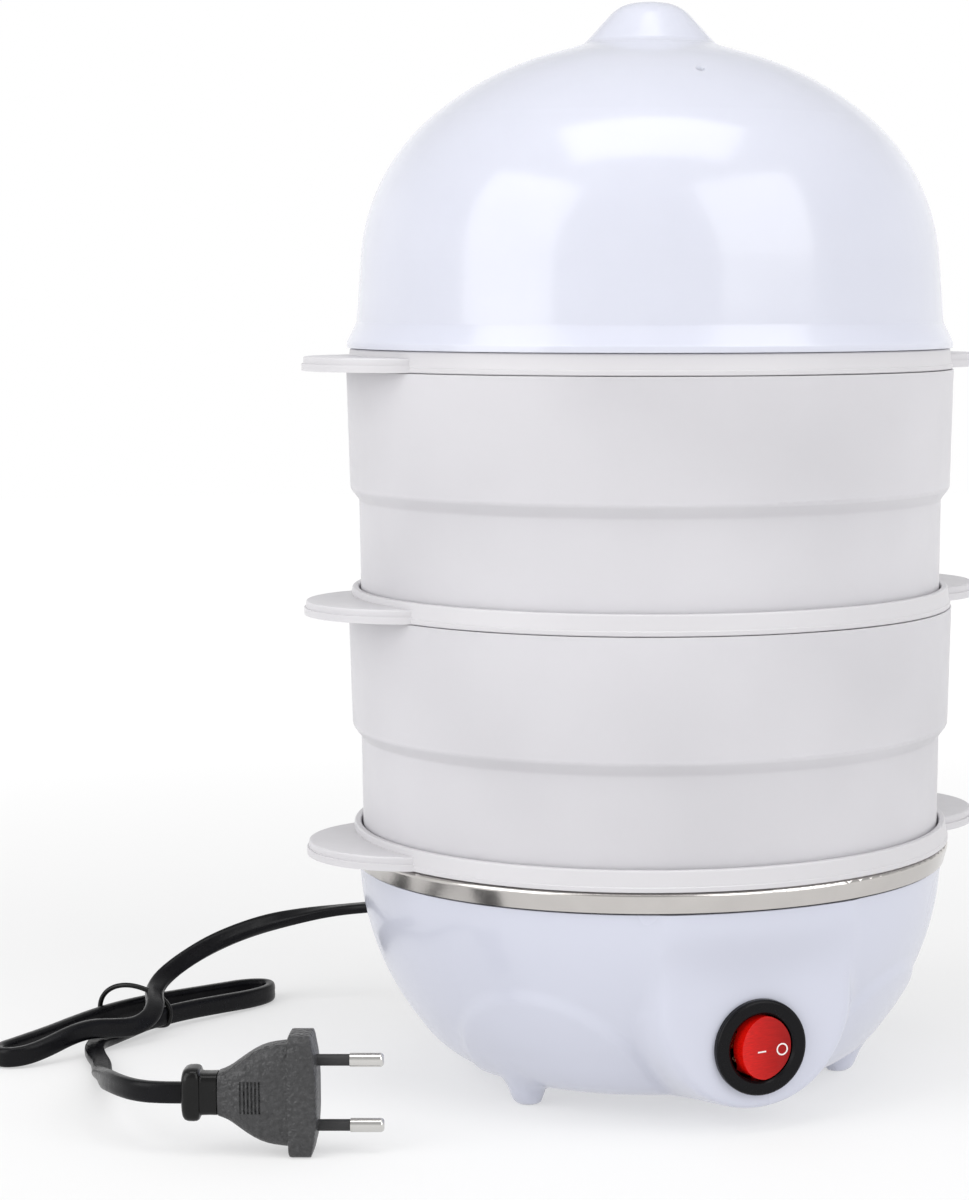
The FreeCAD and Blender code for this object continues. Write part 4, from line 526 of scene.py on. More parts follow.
def rounded_profile(corners: Sequence[Corner], steps: int) -> list[tuple[float, float]]:
    """Points of an open profile whose corners are rounded.

    Args:
        corners: Radius, height and corner radius of each corner.
        steps: Straight pieces in each rounded corner.

    Returns:
        The profile's points as (radius, height).
    """
    points: list[tuple[float, float]] = []
    for index, (radius, height, curve) in enumerate(corners):
        here = Vector((radius, height))
        if curve <= 0.0 or index in (0, len(corners) - 1):
            points.append((radius, height))
            continue
        before = Vector(corners[index - 1][:2]) - here
        after = Vector(corners[index + 1][:2]) - here
        half = before.angle(after) / 2.0
        centre = here + (before.normalized() + after.normalized()).normalized() * (curve / math.sin(half))
        start = here + before.normalized() * (curve / math.tan(half)) - centre
        end = here + after.normalized() * (curve / math.tan(half)) - centre
        for step in range(steps + 1):
            spoke = start.slerp(end, step / steps).normalized() * curve
            points.append((centre.x + spoke.x, centre.y + spoke.y))
    return points


def bake_modifiers(piece: bpy.types.Object) -> None:
    """Applies a piece's modifiers to its mesh."""
    graph = bpy.context.evaluated_depsgraph_get()
    graph.update()
    baked = bpy.data.meshes.new_from_object(piece.evaluated_get(graph), depsgraph=graph)
    old = piece.data
    piece.modifiers.clear()
    piece.data = baked
    baked.name = old.name
    bpy.data.meshes.remove(old)


def round_bar(name: str, start: Vector, end: Vector, radius: float, sides: int = 96) -> bpy.types.Object:
    """A round bar between two points, for cutting holes.

    Args:
        name: Object name.
        start: Middle of one end.
        end: Middle of the other end.
        radius: Its radius.
        sides: Faces round it.

    Returns:
        The bar, in the scene.
    """
    bench = bmesh.new()
    along = end - start
    bmesh.ops.create_cone(bench, cap_ends=True, segments=sides, radius1=radius, radius2=radius,
                          depth=along.length)
    mesh = bpy.data.meshes.new(name)
    bench.to_mesh(mesh)
    bench.free()
    bar = bpy.data.objects.new(name, mesh)
    bar.rotation_euler = along.to_track_quat("Z", "Y").to_euler()
    bar.location = (start + end) / 2.0
    bpy.context.scene.collection.objects.link(bar)
    return bar


def cut_away(piece: bpy.types.Object, cutters: Sequence[bpy.types.Object]) -> None:
    """Cuts other shapes out of a piece and removes them.

    Args:
        piece: The piece that is cut.
        cutters: The shapes that are cut out of it.
    """
    for cutter in cutters:
        cut = piece.modifiers.new("Cut", "BOOLEAN")
        cut.object = cutter
        cut.solver = "EXACT"
        bake_modifiers(piece)
        bpy.data.objects.remove(cutter)


def smooth_line(places: Sequence[Point], order: int, steps: int, closed: bool = False) -> list[Vector]:
    """Reads the smooth line that a few places steer.

    Args:
        places: The places, in metres.
        order: How many places steer each stretch.
        steps: Points for each place.
        closed: True if the last place joins the first.

    Returns:
        Points along the line.
    """
    curve = bpy.data.curves.new("SmoothLine", "CURVE")
    curve.dimensions = "3D"
    spline = curve.splines.new("NURBS")
    spline.points.add(len(places) - 1)
    for point, place in zip(spline.points, places):
        point.co = (*place, 1.0)
    spline.order_u = order
    spline.use_cyclic_u = closed
    spline.use_endpoint_u = not closed
    curve.resolution_u = steps
    line = bpy.data.objects.new("SmoothLine", curve)
    bpy.context.scene.collection.objects.link(line)
    bpy.context.view_layer.update()
    mesh = bpy.data.meshes.new_from_object(line)
    points = [vertex.co.copy() for vertex in mesh.vertices]
    bpy.data.objects.remove(line)
    bpy.data.meshes.remove(mesh)
    return points


def swept_tube(name: str, line: Sequence[Vector], radius: float, closed: bool, beside: Vector,
               sides: int = 12) -> bpy.types.Mesh:
    """A round tube along a line.

    Args:
        name: Mesh name.
        line: Points along its middle.
        radius: Its radius.
        closed: True if its end joins its start.
        beside: A direction that the line never runs along.
        sides: Faces round it.

    Returns:
        The tube's mesh.
    """
    bench = bmesh.new()
    rings = []
    count = len(line)
    turns = [2.0 * math.pi * step / sides for step in range(sides)]
    for index, here in enumerate(line):
        before = line[index - 1] if closed or index > 0 else here
        after = line[(index + 1) % count] if closed or index < count - 1 else here
        ahead = (after - before).normalized()
        side = ahead.cross(beside).normalized()
        over = side.cross(ahead)
        rings.append([bench.verts.new(here + (side * math.cos(turn) + over * math.sin(turn)) * radius)
                      for turn in turns])
    join_rings(bench, rings, closed)
    return closed_mesh(bench, name)


def dress_nodes(finish: bpy.types.Material, names: Iterable[str]) -> None:
    """Gives carried-over parts a finish.

    Args:
        finish: The material.
        names: The parts' names.
    """
    for name in names:
        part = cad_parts[name]
        for slot in part.material_slots:
            slot.link = "OBJECT"
            slot.material = finish
        LOG.info("dressed %s in %s", name, finish.name)


# Camera and studio

@dataclass(frozen=True)
class StudioCamera:
    """The photograph's viewpoint.

    Attributes:
        distance: From the boiler's axis, in metres.
        height: Above the floor, in metres.
        azimuth_deg: Direction of view, from +Y towards -X.
        pitch_deg: Downward tilt.
        lens_mm: Focal length for a 36 mm frame.
        image_height: Height of the photograph in pixels.
        middle_px: Middle of the photograph's width.
        axis_px: Where the boiler's axis stands in the photograph.
    """

    distance: float = 0.819
    height: float = 0.2185
    azimuth_deg: float = -22.0
    pitch_deg: float = 5.97
    lens_mm: float = 87.84
    image_height: float = 1200.0
    middle_px: float = 484.5
    axis_px: float = 650.0

    def build(self) -> bpy.types.Object:
        """Places the camera.

        Returns:
            The camera object.
        """
        data = bpy.data.cameras.new("StudioCamera")
        data.lens = self.lens_mm
        data.sensor_width = 36.0
        data.sensor_fit = "AUTO"
        data.shift_x = (self.middle_px - self.axis_px) / self.image_height
        data.clip_start = 0.01
        data.clip_end = 50.0
        camera = bpy.data.objects.new("StudioCamera", data)
        turn = math.radians(self.azimuth_deg)
        camera.location = (self.distance * math.sin(turn), -self.distance * math.cos(turn), self.height)
        camera.rotation_euler = (math.radians(90.0 - self.pitch_deg), 0.0, turn)
        bpy.context.scene.collection.objects.link(camera)
        bpy.context.scene.camera = camera
        return camera


@dataclass(frozen=True)
class SoftBox:
    """A square studio lamp aimed at the boiler.

    Attributes:
        name: Object name.
        azimuth_deg: Direction to the lamp round the vertical axis, from +X.
        elevation_deg: Height of the lamp above the horizon.
        distance: From the boiler, in metres.
        width: Lamp width in metres.
        height: Lamp height in metres.
        watts: Power.
    """

    name: str
    azimuth_deg: float
    elevation_deg: float
    distance: float
    width: float
    height: float
    watts: float

    def build(self, aim: Point) -> bpy.types.Object:
        """Places the lamp.

        Args:
            aim: The point that it faces.

        Returns:
            The lamp object.
        """
        data = bpy.data.lights.new(self.name, "AREA")
        data.shape = "RECTANGLE"
        data.size = self.width
        data.size_y = self.height
        data.energy = self.watts
        lamp = bpy.data.objects.new(self.name, data)
        turn = math.radians(self.azimuth_deg)
        rise = math.radians(self.elevation_deg)
        way = Vector((math.cos(rise) * math.cos(turn), math.cos(rise) * math.sin(turn), math.sin(rise)))
        lamp.location = Vector(aim) + way * self.distance
        lamp.rotation_euler = way.to_track_quat("Z", "Y").to_euler()
        bpy.context.scene.collection.objects.link(lamp)
        return lamp


@dataclass(frozen=True)
class Studio:
    """A light table, soft lamps and a surround that is white at the horizon and dimmer overhead.

    Attributes:
        table_radius: Radius of the light table in metres.
        clear_radius: Radius inside which the table is plain white paper.
        glow_radius: Radius from which the table is as bright as the horizon.
        paper_colour: Colour of the paper.
        horizon_glow: Strength of the surround up to the horizon band, and of the table's edge.
        floor_glow: Strength of the table round the boiler.
        ceiling_glow: Strength of the surround overhead.
        band_top: Sine of the elevation where the horizon band starts to fade.
        band_end: Sine of the elevation where it has faded.
        aim: What the lamps face.
    """

    table_radius: float = 2.4
    clear_radius: float = 0.24
    glow_radius: float = 0.62
    paper_colour: Colour = (0.80, 0.80, 0.80)
    horizon_glow: float = 1.0
    floor_glow: float = 0.49
    ceiling_glow: float = 0.56
    band_top: float = 0.16
    band_end: float = 0.5
    aim: Point = (0.0, 0.0, 0.16)

    def boxes(self) -> tuple[SoftBox, ...]:
        """Returns the lamps: left and right of the camera, and overhead."""
        return (
            SoftBox("LeftBox", -168.0, 23.0, 1.5, 1.05, 1.4, 10.6),
            SoftBox("RightBox", -66.0, 30.0, 1.5, 1.05, 1.1, 8.4),
            SoftBox("TopBox", -110.0, 78.0, 1.5, 1.3, 0.7, 7.0),
        )

    def table(self) -> bpy.types.Object:
        """Makes the light table.

        Returns:
            The table.
        """
        mesh = bpy.data.meshes.new("StudioTable")
        disc = bmesh.new()
        bmesh.ops.create_circle(disc, cap_ends=True, segments=96, radius=self.table_radius)
        disc.to_mesh(mesh)
        disc.free()
        material = bpy.data.materials.new("StudioPaper")
        bench = NodeBench(material)
        distance = bench.tree.nodes.new("ShaderNodeVectorMath")
        distance.operation = "LENGTH"
        bench.tree.links.new(bench.place, distance.inputs[0])
        glow = bench.span(distance.outputs["Value"], self.floor_glow, self.horizon_glow,
                          self.clear_radius, self.glow_radius)
        bench.link(glow, "Emission Strength")
        bench.link(bench.tint(glow, self.paper_colour, (0.0, 0.0, 0.0)), "Base Color")
        bench.set(Roughness=0.9, Specular_IOR_Level=0.1, Emission_Color=(1.0, 1.0, 1.0, 1.0))
        table = link_mesh("StudioTable", mesh, material)
        return table

    def surround(self) -> None:
        """Makes the graded surround."""
        world = bpy.data.worlds.new("StudioSurround")
        world.use_nodes = True
        tree = world.node_tree
        direction = tree.nodes.new("ShaderNodeTexCoord").outputs["Generated"]
        split = tree.nodes.new("ShaderNodeSeparateXYZ")
        fade = tree.nodes.new("ShaderNodeMapRange")
        fade.interpolation_type = "SMOOTHSTEP"
        fade.inputs["From Min"].default_value = self.band_top
        fade.inputs["From Max"].default_value = self.band_end
        fade.inputs["To Min"].default_value = self.horizon_glow
        fade.inputs["To Max"].default_value = self.ceiling_glow
        tree.links.new(direction, split.inputs["Vector"])
        tree.links.new(split.outputs["Z"], fade.inputs["Value"])
        tree.links.new(fade.outputs["Result"], tree.nodes["Background"].inputs["Strength"])
        tree.nodes["Background"].inputs["Color"].default_value = (1.0, 1.0, 1.0, 1.0)
        bpy.context.scene.world = world

    def build(self) -> None:
        """Makes the table, the lamps and the surround."""
        self.table()
        for box in self.boxes():
            box.build(self.aim)
        self.surround()
        bpy.context.scene.view_settings.view_transform = "Standard"


# Power cord

class CordLay(Enum):
    """How the flat cable is turned about its own length: degrees from lying flat."""

    FLAT = 0.0
    LEANING = 45.0
    ON_EDGE = 90.0


@dataclass(frozen=True)
class FlatCord:
    """The flat two-core power cord: out of the back, one tied hank, and a tail to the plug.

    Attributes:
        width: Width of the cable in metres.
        thickness: Thickness of the cable in metres.
        crease_deg: Edges that turn by more than this stay sharp.
        waist: How much thinner it is between its two cores, in metres.
        length: Its real length in metres; not used.
        lead: Route from the bushing to the hank.
        hank: Route of the hank.
        tail: Route from the hank to the plug.
        lays: Share of the whole length and the cable's turn there.
        bulge: Powers that round the section across its width and its thickness; 1 is an oval.
    """

    width: float = 0.0055
    thickness: float = 0.0032
    crease_deg: float = 60.0
    waist: float = 0.0003
    length: float = 0.475
    lead: tuple[Point, ...] = (
        (-0.0430, 0.0881, 0.0300), (-0.0478, 0.0980, 0.0300), (-0.0565, 0.1060, 0.0284),
        (-0.0690, 0.1116, 0.0266), (-0.0840, 0.1128, 0.0244), (-0.0980, 0.1110, 0.0209),
        (-0.1090, 0.1087, 0.0164), (-0.1170, 0.1049, 0.0123),
    )
    hank: tuple[Point, ...] = (
        (-0.1212, 0.0982, 0.0102), (-0.1229, 0.0910, 0.0097), (-0.1240, 0.0842, 0.0088),
        (-0.1270, 0.0786, 0.0066), (-0.1326, 0.0744, 0.0053), (-0.1396, 0.0715, 0.0064),
        (-0.1462, 0.0684, 0.0076), (-0.1526, 0.0654, 0.0071), (-0.1602, 0.0625, 0.0048),
        (-0.1670, 0.0606, 0.0034), (-0.1730, 0.0626, 0.0030), (-0.1734, 0.0684, 0.0030),
        (-0.1663, 0.0742, 0.0030), (-0.1560, 0.0827, 0.0031), (-0.1451, 0.0920, 0.0036),
        (-0.1331, 0.1003, 0.0041), (-0.1200, 0.1066, 0.0041), (-0.1069, 0.1117, 0.0037),
        (-0.0964, 0.1165, 0.0032), (-0.0880, 0.1196, 0.0030), (-0.0812, 0.1174, 0.0030),
        (-0.0820, 0.1102, 0.0030), (-0.0895, 0.1044, 0.0031), (-0.1017, 0.0986, 0.0037),
        (-0.1149, 0.0926, 0.0041), (-0.1269, 0.0863, 0.0037), (-0.1353, 0.0797, 0.0029),
    )
    tail: tuple[Point, ...] = (
        (-0.1425, 0.0741, 0.0024), (-0.1462, 0.0663, 0.0023), (-0.1474, 0.0564, 0.0025),
        (-0.1480, 0.0456, 0.0030), (-0.1500, 0.0352, 0.0040), (-0.1518, 0.0248, 0.0058),
        (-0.1542, 0.0146, 0.0081), (-0.1564, 0.0046, 0.0106), (-0.1578, -0.0054, 0.0129),
        (-0.1582, -0.0150, 0.0147), (-0.1573, -0.0236, 0.0155), (-0.1547, -0.0307, 0.01575),
        (-0.14999, -0.03529, 0.0158), (-0.14396, -0.03773, 0.0158),
    )
    lays: tuple[tuple[float, float], ...] = (
        (0.0, CordLay.FLAT.value), (0.05, CordLay.FLAT.value), (0.12, CordLay.LEANING.value),
        (0.165, 62.0), (0.20, 28.0), (0.225, 24.0), (0.27, CordLay.ON_EDGE.value),
        (0.68, CordLay.ON_EDGE.value), (0.735, 34.0), (0.76, CordLay.FLAT.value),
        (0.82, 12.0), (0.88, CordLay.LEANING.value), (0.94, CordLay.ON_EDGE.value),
        (1.0, CordLay.ON_EDGE.value),
    )
    bulge: tuple[float, float] = (0.75, 0.45)

    def centreline(self) -> list[Vector]:
        """Returns points, close together, along the smooth line that the route's points steer."""
        return smooth_line(self.lead + self.hank + self.tail, order=3, steps=12)

    def lay_at(self, share: float) -> float:
        """Returns the cable's turn about its length at a share of that length, in radians."""
        for (start, low), (end, high) in zip(self.lays, self.lays[1:]):
            if share <= end:
                step = (share - start) / (end - start)
                smooth = step * step * (3.0 - 2.0 * step)
                return math.radians(low + (high - low) * smooth)
        return math.radians(self.lays[-1][1])

    def section(self, sides: int = 28) -> list[tuple[float, float]]:
        """Outline of the cable's section.

        Args:
            sides: Points round it.

        Returns:
            Points as (along its width, along its thickness).
        """
        outline = []
        half_w = self.width / 2.0
        half_t = self.thickness / 2.0
        for side in range(sides):
            turn = 2.0 * math.pi * side / sides
            across = math.copysign(abs(math.cos(turn)) ** self.bulge[0], math.cos(turn)) * half_w
            up = math.copysign(abs(math.sin(turn)) ** self.bulge[1], math.sin(turn)) * half_t
            dip = self.waist / 2.0 * math.exp(-(across / (half_w * 0.3)) ** 2)
            outline.append((across, up - math.copysign(min(dip, abs(up)), up)))
        return outline

    def build(self, material: bpy.types.Material) -> tuple[bpy.types.Object, list[Vector]]:
        """Sweeps the section along the line.

        Args:
            material: The cable's material.

        Returns:
            The cable and the line that it follows.
        """
        line = self.centreline()
        lengths = [0.0]
        for before, here in zip(line, line[1:]):
            lengths.append(lengths[-1] + (here - before).length)
        outline = self.section()
        bench = bmesh.new()
        rings = []
        last = len(line) - 1
        for index, here in enumerate(line):
            ahead = (line[min(index + 1, last)] - line[max(index - 1, 0)]).normalized()
            side = ahead.cross(Vector((0.0, 0.0, 1.0))).normalized()
            over = side.cross(ahead)
            turn = self.lay_at(lengths[index] / lengths[-1])
            wide = side * math.cos(turn) + over * math.sin(turn)
            thick = over * math.cos(turn) - side * math.sin(turn)
            rings.append([bench.verts.new(here + wide * across + thick * up) for across, up in outline])
        join_rings(bench, rings)
        cord = link_mesh("PowerCord", closed_mesh(bench, "PowerCord"), material, self.crease_deg)
        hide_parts("power_cord_lead", "power_cord_hank", "power_cord_tail")
        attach(cord, "base")
        report(cord)
        return cord, line


# Base

@dataclass(frozen=True)
class BaseShell:
    """The moulded base: a bowl whose switch boss, foot pads and legs grow out of it in soft curves.

    Sizes are millimetres, as in the part's drawings.

    Attributes:
        bowl: Outer profile as (radius, height, corner radius), from the bottom's middle to the lip.
        wall: Wall thickness.
        boss_y: Where the boss's flat face stands.
        boss_z: Height of the boss's middle.
        boss_radius: Half the boss's width.
        boss_draft: How far the boss's side falls back for each millimetre outwards.
        boss_chin: The same for its underside.
        boss_edge: Softness of the boss's edge, and how much less it is at the underside.
        boss_fade: Width of the band in which the outline of the flat face fades.
        boss_reach: The boss is felt only in front of this place along Y.
        merge: Heights between which the flat face runs out into the round belly.
        pad_rise: How far a pad stands out of the bowl.
        pad_half: Half the pad's width and height.
        pad_z: Height of a pad's middle.
        pad_edge: Where a pad's rise ends, in shares of its half size, and the width of that slope.
        pad_inner: Radius where the pads start under the bowl, and the width of that slope.
        pad_angles: Where the pads are, in degrees.
        leg_angles: Where the legs are, in degrees.
        leg_circle: Radius of the circle of the feet.
        foot_radius: Radius of a foot at the bottom.
        leg_top: Outset, height and radius of a leg's top.
        sole: Size of the soft curve round a foot's sole.
        bore_radius: Radius of the screw's access hole in a foot.
        bore_reach: Heights where that hole's cutter starts and ends.
        switch_z: Height of the switch's axis.
        switch_bore: Radius of the switch's hole.
        switch_reach: Where along Y that hole's cutter starts and ends.
        gland_angle: Direction of the cord's hole, in degrees.
        gland_z: Height of the cord's hole.
        gland_bore: Radius of the cord's hole.
        gland_reach: Distances from the axis where that hole's cutter starts and ends.
        blend: Size of the soft curve where two shapes meet.
        search: Nearest and furthest that the skin may stand from the bowl's outer profile.
        stride: Step of the first search for the skin.
        crease_deg: Edges that turn by more than this stay sharp.
    """

    bowl: tuple[Corner, ...] = ((0.0, 3.0, 0.0), (56.2, 3.0, 30.0), (79.9, 35.6, 75.0), (82.0, 60.2, 0.0))
    wall: float = 2.2
    boss_y: float = -76.0
    boss_z: float = 33.0
    boss_radius: float = 26.8
    boss_draft: float = 2.6
    boss_chin: float = 6.5
    boss_edge: tuple[float, float] = (1.2, 0.9)
    boss_fade: float = 4.0
    boss_reach: float = -40.0
    merge: tuple[float, float] = (37.0, 56.0)
    pad_rise: float = 1.1
    pad_half: tuple[float, float] = (30.0, 29.0)
    pad_z: float = 8.0
    pad_edge: tuple[float, float] = (1.06, 0.16)
    pad_inner: tuple[float, float] = (48.0, 12.0)
    pad_angles: tuple[float, ...] = (-137.0, -50.0, 90.0)
    leg_angles: tuple[float, ...] = (-150.0, -30.0, 90.0)
    leg_circle: float = 53.4
    foot_radius: float = 4.1
    leg_top: tuple[float, float, float] = (8.0, 26.0, 6.8)
    sole: float = 2.4
    bore_radius: float = 2.7
    bore_reach: tuple[float, float] = (-2.0, 24.0)
    switch_z: float = 23.0
    switch_bore: float = 11.2
    switch_reach: tuple[float, float] = (-90.0, -60.0)
    gland_angle: float = 116.0
    gland_z: float = 30.0
    gland_bore: float = 7.45
    gland_reach: tuple[float, float] = (90.0, 70.0)
    blend: float = 3.0
    search: tuple[float, float] = (-7.0, 18.0)
    stride: float = 0.25
    crease_deg: float = 50.0

    def turns(self) -> np.ndarray:
        """Returns the columns' directions in radians, closer together across the boss and the legs."""
        stretches = ((-126.0, -54.0, 0.6), (-54.0, -40.0, 1.4), (-40.0, -20.0, 0.7), (-20.0, 80.0, 2.5),
                     (80.0, 100.0, 0.7), (100.0, 200.0, 2.5), (200.0, 220.0, 0.7), (220.0, 234.0, 1.4))
        return np.radians(np.concatenate([np.arange(start, end - step / 2.0, step)
                                          for start, end, step in stretches]))

    def profile(self) -> tuple[np.ndarray, np.ndarray]:
        """Places on the bowl's outer profile and the directions that point out of it.

        Returns:
            Points and normals, both as (radius, height), from the bottom to the lip.
        """
        corners = [Vector(point) for point in rounded_profile(self.bowl, 48)]
        lengths = [0.0]
        for before, here in zip(corners, corners[1:]):
            lengths.append(lengths[-1] + (here - before).length)
        stops = np.concatenate([np.linspace(1.0, 36.0, 8, endpoint=False),
                                np.linspace(36.0, 98.0, 84, endpoint=False),
                                np.linspace(98.0, lengths[-1], 12)])
        points = np.array([[np.interp(stop, lengths, [corner.x for corner in corners]),
                            np.interp(stop, lengths, [corner.y for corner in corners])] for stop in stops])
        along = np.gradient(points, axis=0)
        along /= np.linalg.norm(along, axis=1)[:, None]
        return points, np.stack([along[:, 1], -along[:, 0]], axis=1)

    @staticmethod
    def soft_min(first: np.ndarray, second: np.ndarray, size: float) -> np.ndarray:
        """Returns the lesser of two distances, with a soft curve of a size where they cross."""
        near = np.maximum(size - np.abs(first - second), 0.0)
        return np.minimum(first, second) - near * near / (4.0 * size)

    @staticmethod
    def soft_step(value: np.ndarray) -> np.ndarray:
        """Returns 0 below 0, 1 above 1, and a smooth step between."""
        step = np.clip(value, 0.0, 1.0)
        return step * step * (3.0 - 2.0 * step)

    def boss(self, x: np.ndarray, y: np.ndarray, z: np.ndarray) -> tuple[np.ndarray, np.ndarray]:
        """Distance in front of the switch boss, and how fully a place lies inside its outline.

        Args:
            x: Place to the right.
            y: Place towards the back.
            z: Place upwards.

        Returns:
            The distance, positive outside the boss, and a share from 0 to 1.
        """
        below = np.minimum(z - self.boss_z, 0.0)
        outside = np.hypot(x, below) - self.boss_radius
        chin = self.soft_step(-below / self.boss_radius)
        draft = self.boss_draft + (self.boss_chin - self.boss_draft) * chin
        edge = self.boss_edge[0] - self.boss_edge[1] * chin
        fall = draft * (outside + np.sqrt(outside * outside + edge)) / 2.0
        under_merge = self.soft_step((self.merge[1] - z) / (self.merge[1] - self.merge[0]))
        inside = self.soft_step(0.5 - outside / self.boss_fade) * under_merge
        return self.boss_y + fall - y, inside

    def leg(self, angle: float, x: np.ndarray, y: np.ndarray, z: np.ndarray) -> np.ndarray:
        """Returns the distance outside one leg, for places (x, y, z)."""
        turn = math.radians(angle)
        outset, top_z, top_radius = self.leg_top
        share = np.clip(z / top_z, 0.0, 1.0)
        centre = self.leg_circle + outset * share
        radius = self.foot_radius + (top_radius - self.foot_radius) * share
        side = np.hypot(x - centre * math.cos(turn), y - centre * math.sin(turn)) - radius
        return -self.soft_min(-side, z, self.sole)

    def outside(self, reach: np.ndarray, x: np.ndarray, y: np.ndarray, z: np.ndarray) -> np.ndarray:
        """Distance outside the whole base.

        Args:
            reach: Distance outside the plain bowl, pads included.
            x: Place to the right.
            y: Place towards the back.
            z: Place upwards.

        Returns:
            The distance, negative inside.
        """
        front, inside = self.boss(x, y, z)
        drafted = front / math.hypot(1.0, self.boss_draft)
        solid = self.soft_min(reach, drafted, self.blend)
        solid = np.where(y < self.boss_reach, inside * front + (1.0 - inside) * solid, reach)
        for angle in self.leg_angles:
            solid = self.soft_min(solid, self.leg(angle, x, y, z), self.blend)
        return solid

    def pads(self, turns: np.ndarray, radius: np.ndarray, z: np.ndarray) -> np.ndarray:
        """Returns how far the pads stand out at places round the bowl."""
        rise = np.zeros_like(z + turns)
        for angle in self.pad_angles:
            away = np.angle(np.exp(1j * (turns - math.radians(angle)))) * radius
            oval = np.hypot(away / self.pad_half[0], (z - self.pad_z) / self.pad_half[1])
            share = self.soft_step((self.pad_edge[0] - oval) / self.pad_edge[1])
            rise = np.maximum(rise, self.pad_rise * share)
        return rise * self.soft_step((radius - self.pad_inner[0]) / self.pad_inner[1])

    def skin(self) -> tuple[np.ndarray, np.ndarray]:
        """Finds the skins along the bowl's normals.

        Returns:
            The outer and inner skin, each as an array of columns, rows and (x, y, z).
        """
        points, normals = self.profile()
        turns = self.turns()[:, None]
        radius, height = points[None, :, 0], points[None, :, 1]
        out_r, out_z = normals[None, :, 0], normals[None, :, 1]
        rise = self.pads(turns, radius, height)

        def place(reach: float | np.ndarray) -> tuple[np.ndarray, np.ndarray, np.ndarray]:
            """Returns the places that far out along the normals."""
            flat = radius + out_r * reach
            return flat * np.cos(turns), flat * np.sin(turns), height + out_z * reach

        low = np.full(rise.shape, self.search[0])
        high = np.full(rise.shape, self.search[1])
        found = np.zeros(rise.shape, dtype=bool)
        for reach in np.arange(*self.search, self.stride):
            fresh = (self.outside(reach - rise, *place(reach)) > 0.0) & ~found
            high = np.where(fresh, reach, high)
            low = np.where(fresh, reach - self.stride, low)
            found |= fresh
        for _ in range(14):
            middle = (low + high) / 2.0
            beyond = self.outside(middle - rise, *place(middle)) > 0.0
            low = np.where(beyond, low, middle)
            high = np.where(beyond, middle, high)
        return np.stack(place(low), axis=2), np.stack(place(low - self.wall), axis=2)

    def cutters(self) -> list[bpy.types.Object]:
        """Makes the round cutters for the switch, the cord and the three screws."""
        turn = math.radians(self.gland_angle)
        holes = [([(0.0, y, self.switch_z) for y in self.switch_reach], self.switch_bore),
                 ([(away * math.cos(turn), away * math.sin(turn), self.gland_z) for away in self.gland_reach],
                  self.gland_bore)]
        for angle in self.leg_angles:
            turn = math.radians(angle)
            foot = (self.leg_circle * math.cos(turn), self.leg_circle * math.sin(turn))
            holes.append(([(*foot, z) for z in self.bore_reach], self.bore_radius))
        return [round_bar(f"BaseCutter{number}", Vector(start) * MM, Vector(end) * MM, radius * MM)
                for number, ((start, end), radius) in enumerate(holes)]

    def build(self, material: bpy.types.Material) -> bpy.types.Object:
        """Makes the base.

        Args:
            material: Its plastic.

        Returns:
            The base.
        """
        outer, inner = (surface * MM for surface in self.skin())
        columns, rows = outer.shape[:2]
        bench = bmesh.new()
        sides = []
        for surface, middle in ((outer, self.bowl[0][1]), (inner, self.bowl[0][1] + self.wall)):
            grid = [[bench.verts.new(place) for place in column] for column in surface]
            grid.append(grid[0])
            centre = bench.verts.new((0.0, 0.0, middle * MM))
            for here, following in zip(grid, grid[1:]):
                bench.faces.new([centre, following[0], here[0]])
                for row in range(rows - 1):
                    bench.faces.new([here[row], following[row], following[row + 1], here[row + 1]])
            sides.append(grid)
        for index in range(columns):
            bench.faces.new([sides[0][index][-1], sides[0][index + 1][-1],
                             sides[1][index + 1][-1], sides[1][index][-1]])
        shell = link_mesh("BaseShell", closed_mesh(bench, "BaseShell"), material, ALL_SMOOTH)
        cut_away(shell, self.cutters())
        smooth_edges(shell.data, self.crease_deg)
        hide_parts("base_housing")
        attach(shell, "base")
        report(shell)
        return shell


# Plug, tie and switch

@dataclass(frozen=True)
class Section:
    """One cross-section of a moulding, in millimetres.

    Attributes:
        back: Distance behind the plug's front face.
        tall: Half its height.
        wide: Half its width.
        square: How square its outline is: 2 is an oval, 8 nearly a rectangle.
        crown: How much further back its top and bottom stand than its middle.
    """

    back: float
    tall: float
    wide: float
    square: float = 4.0
    crown: float = 0.0


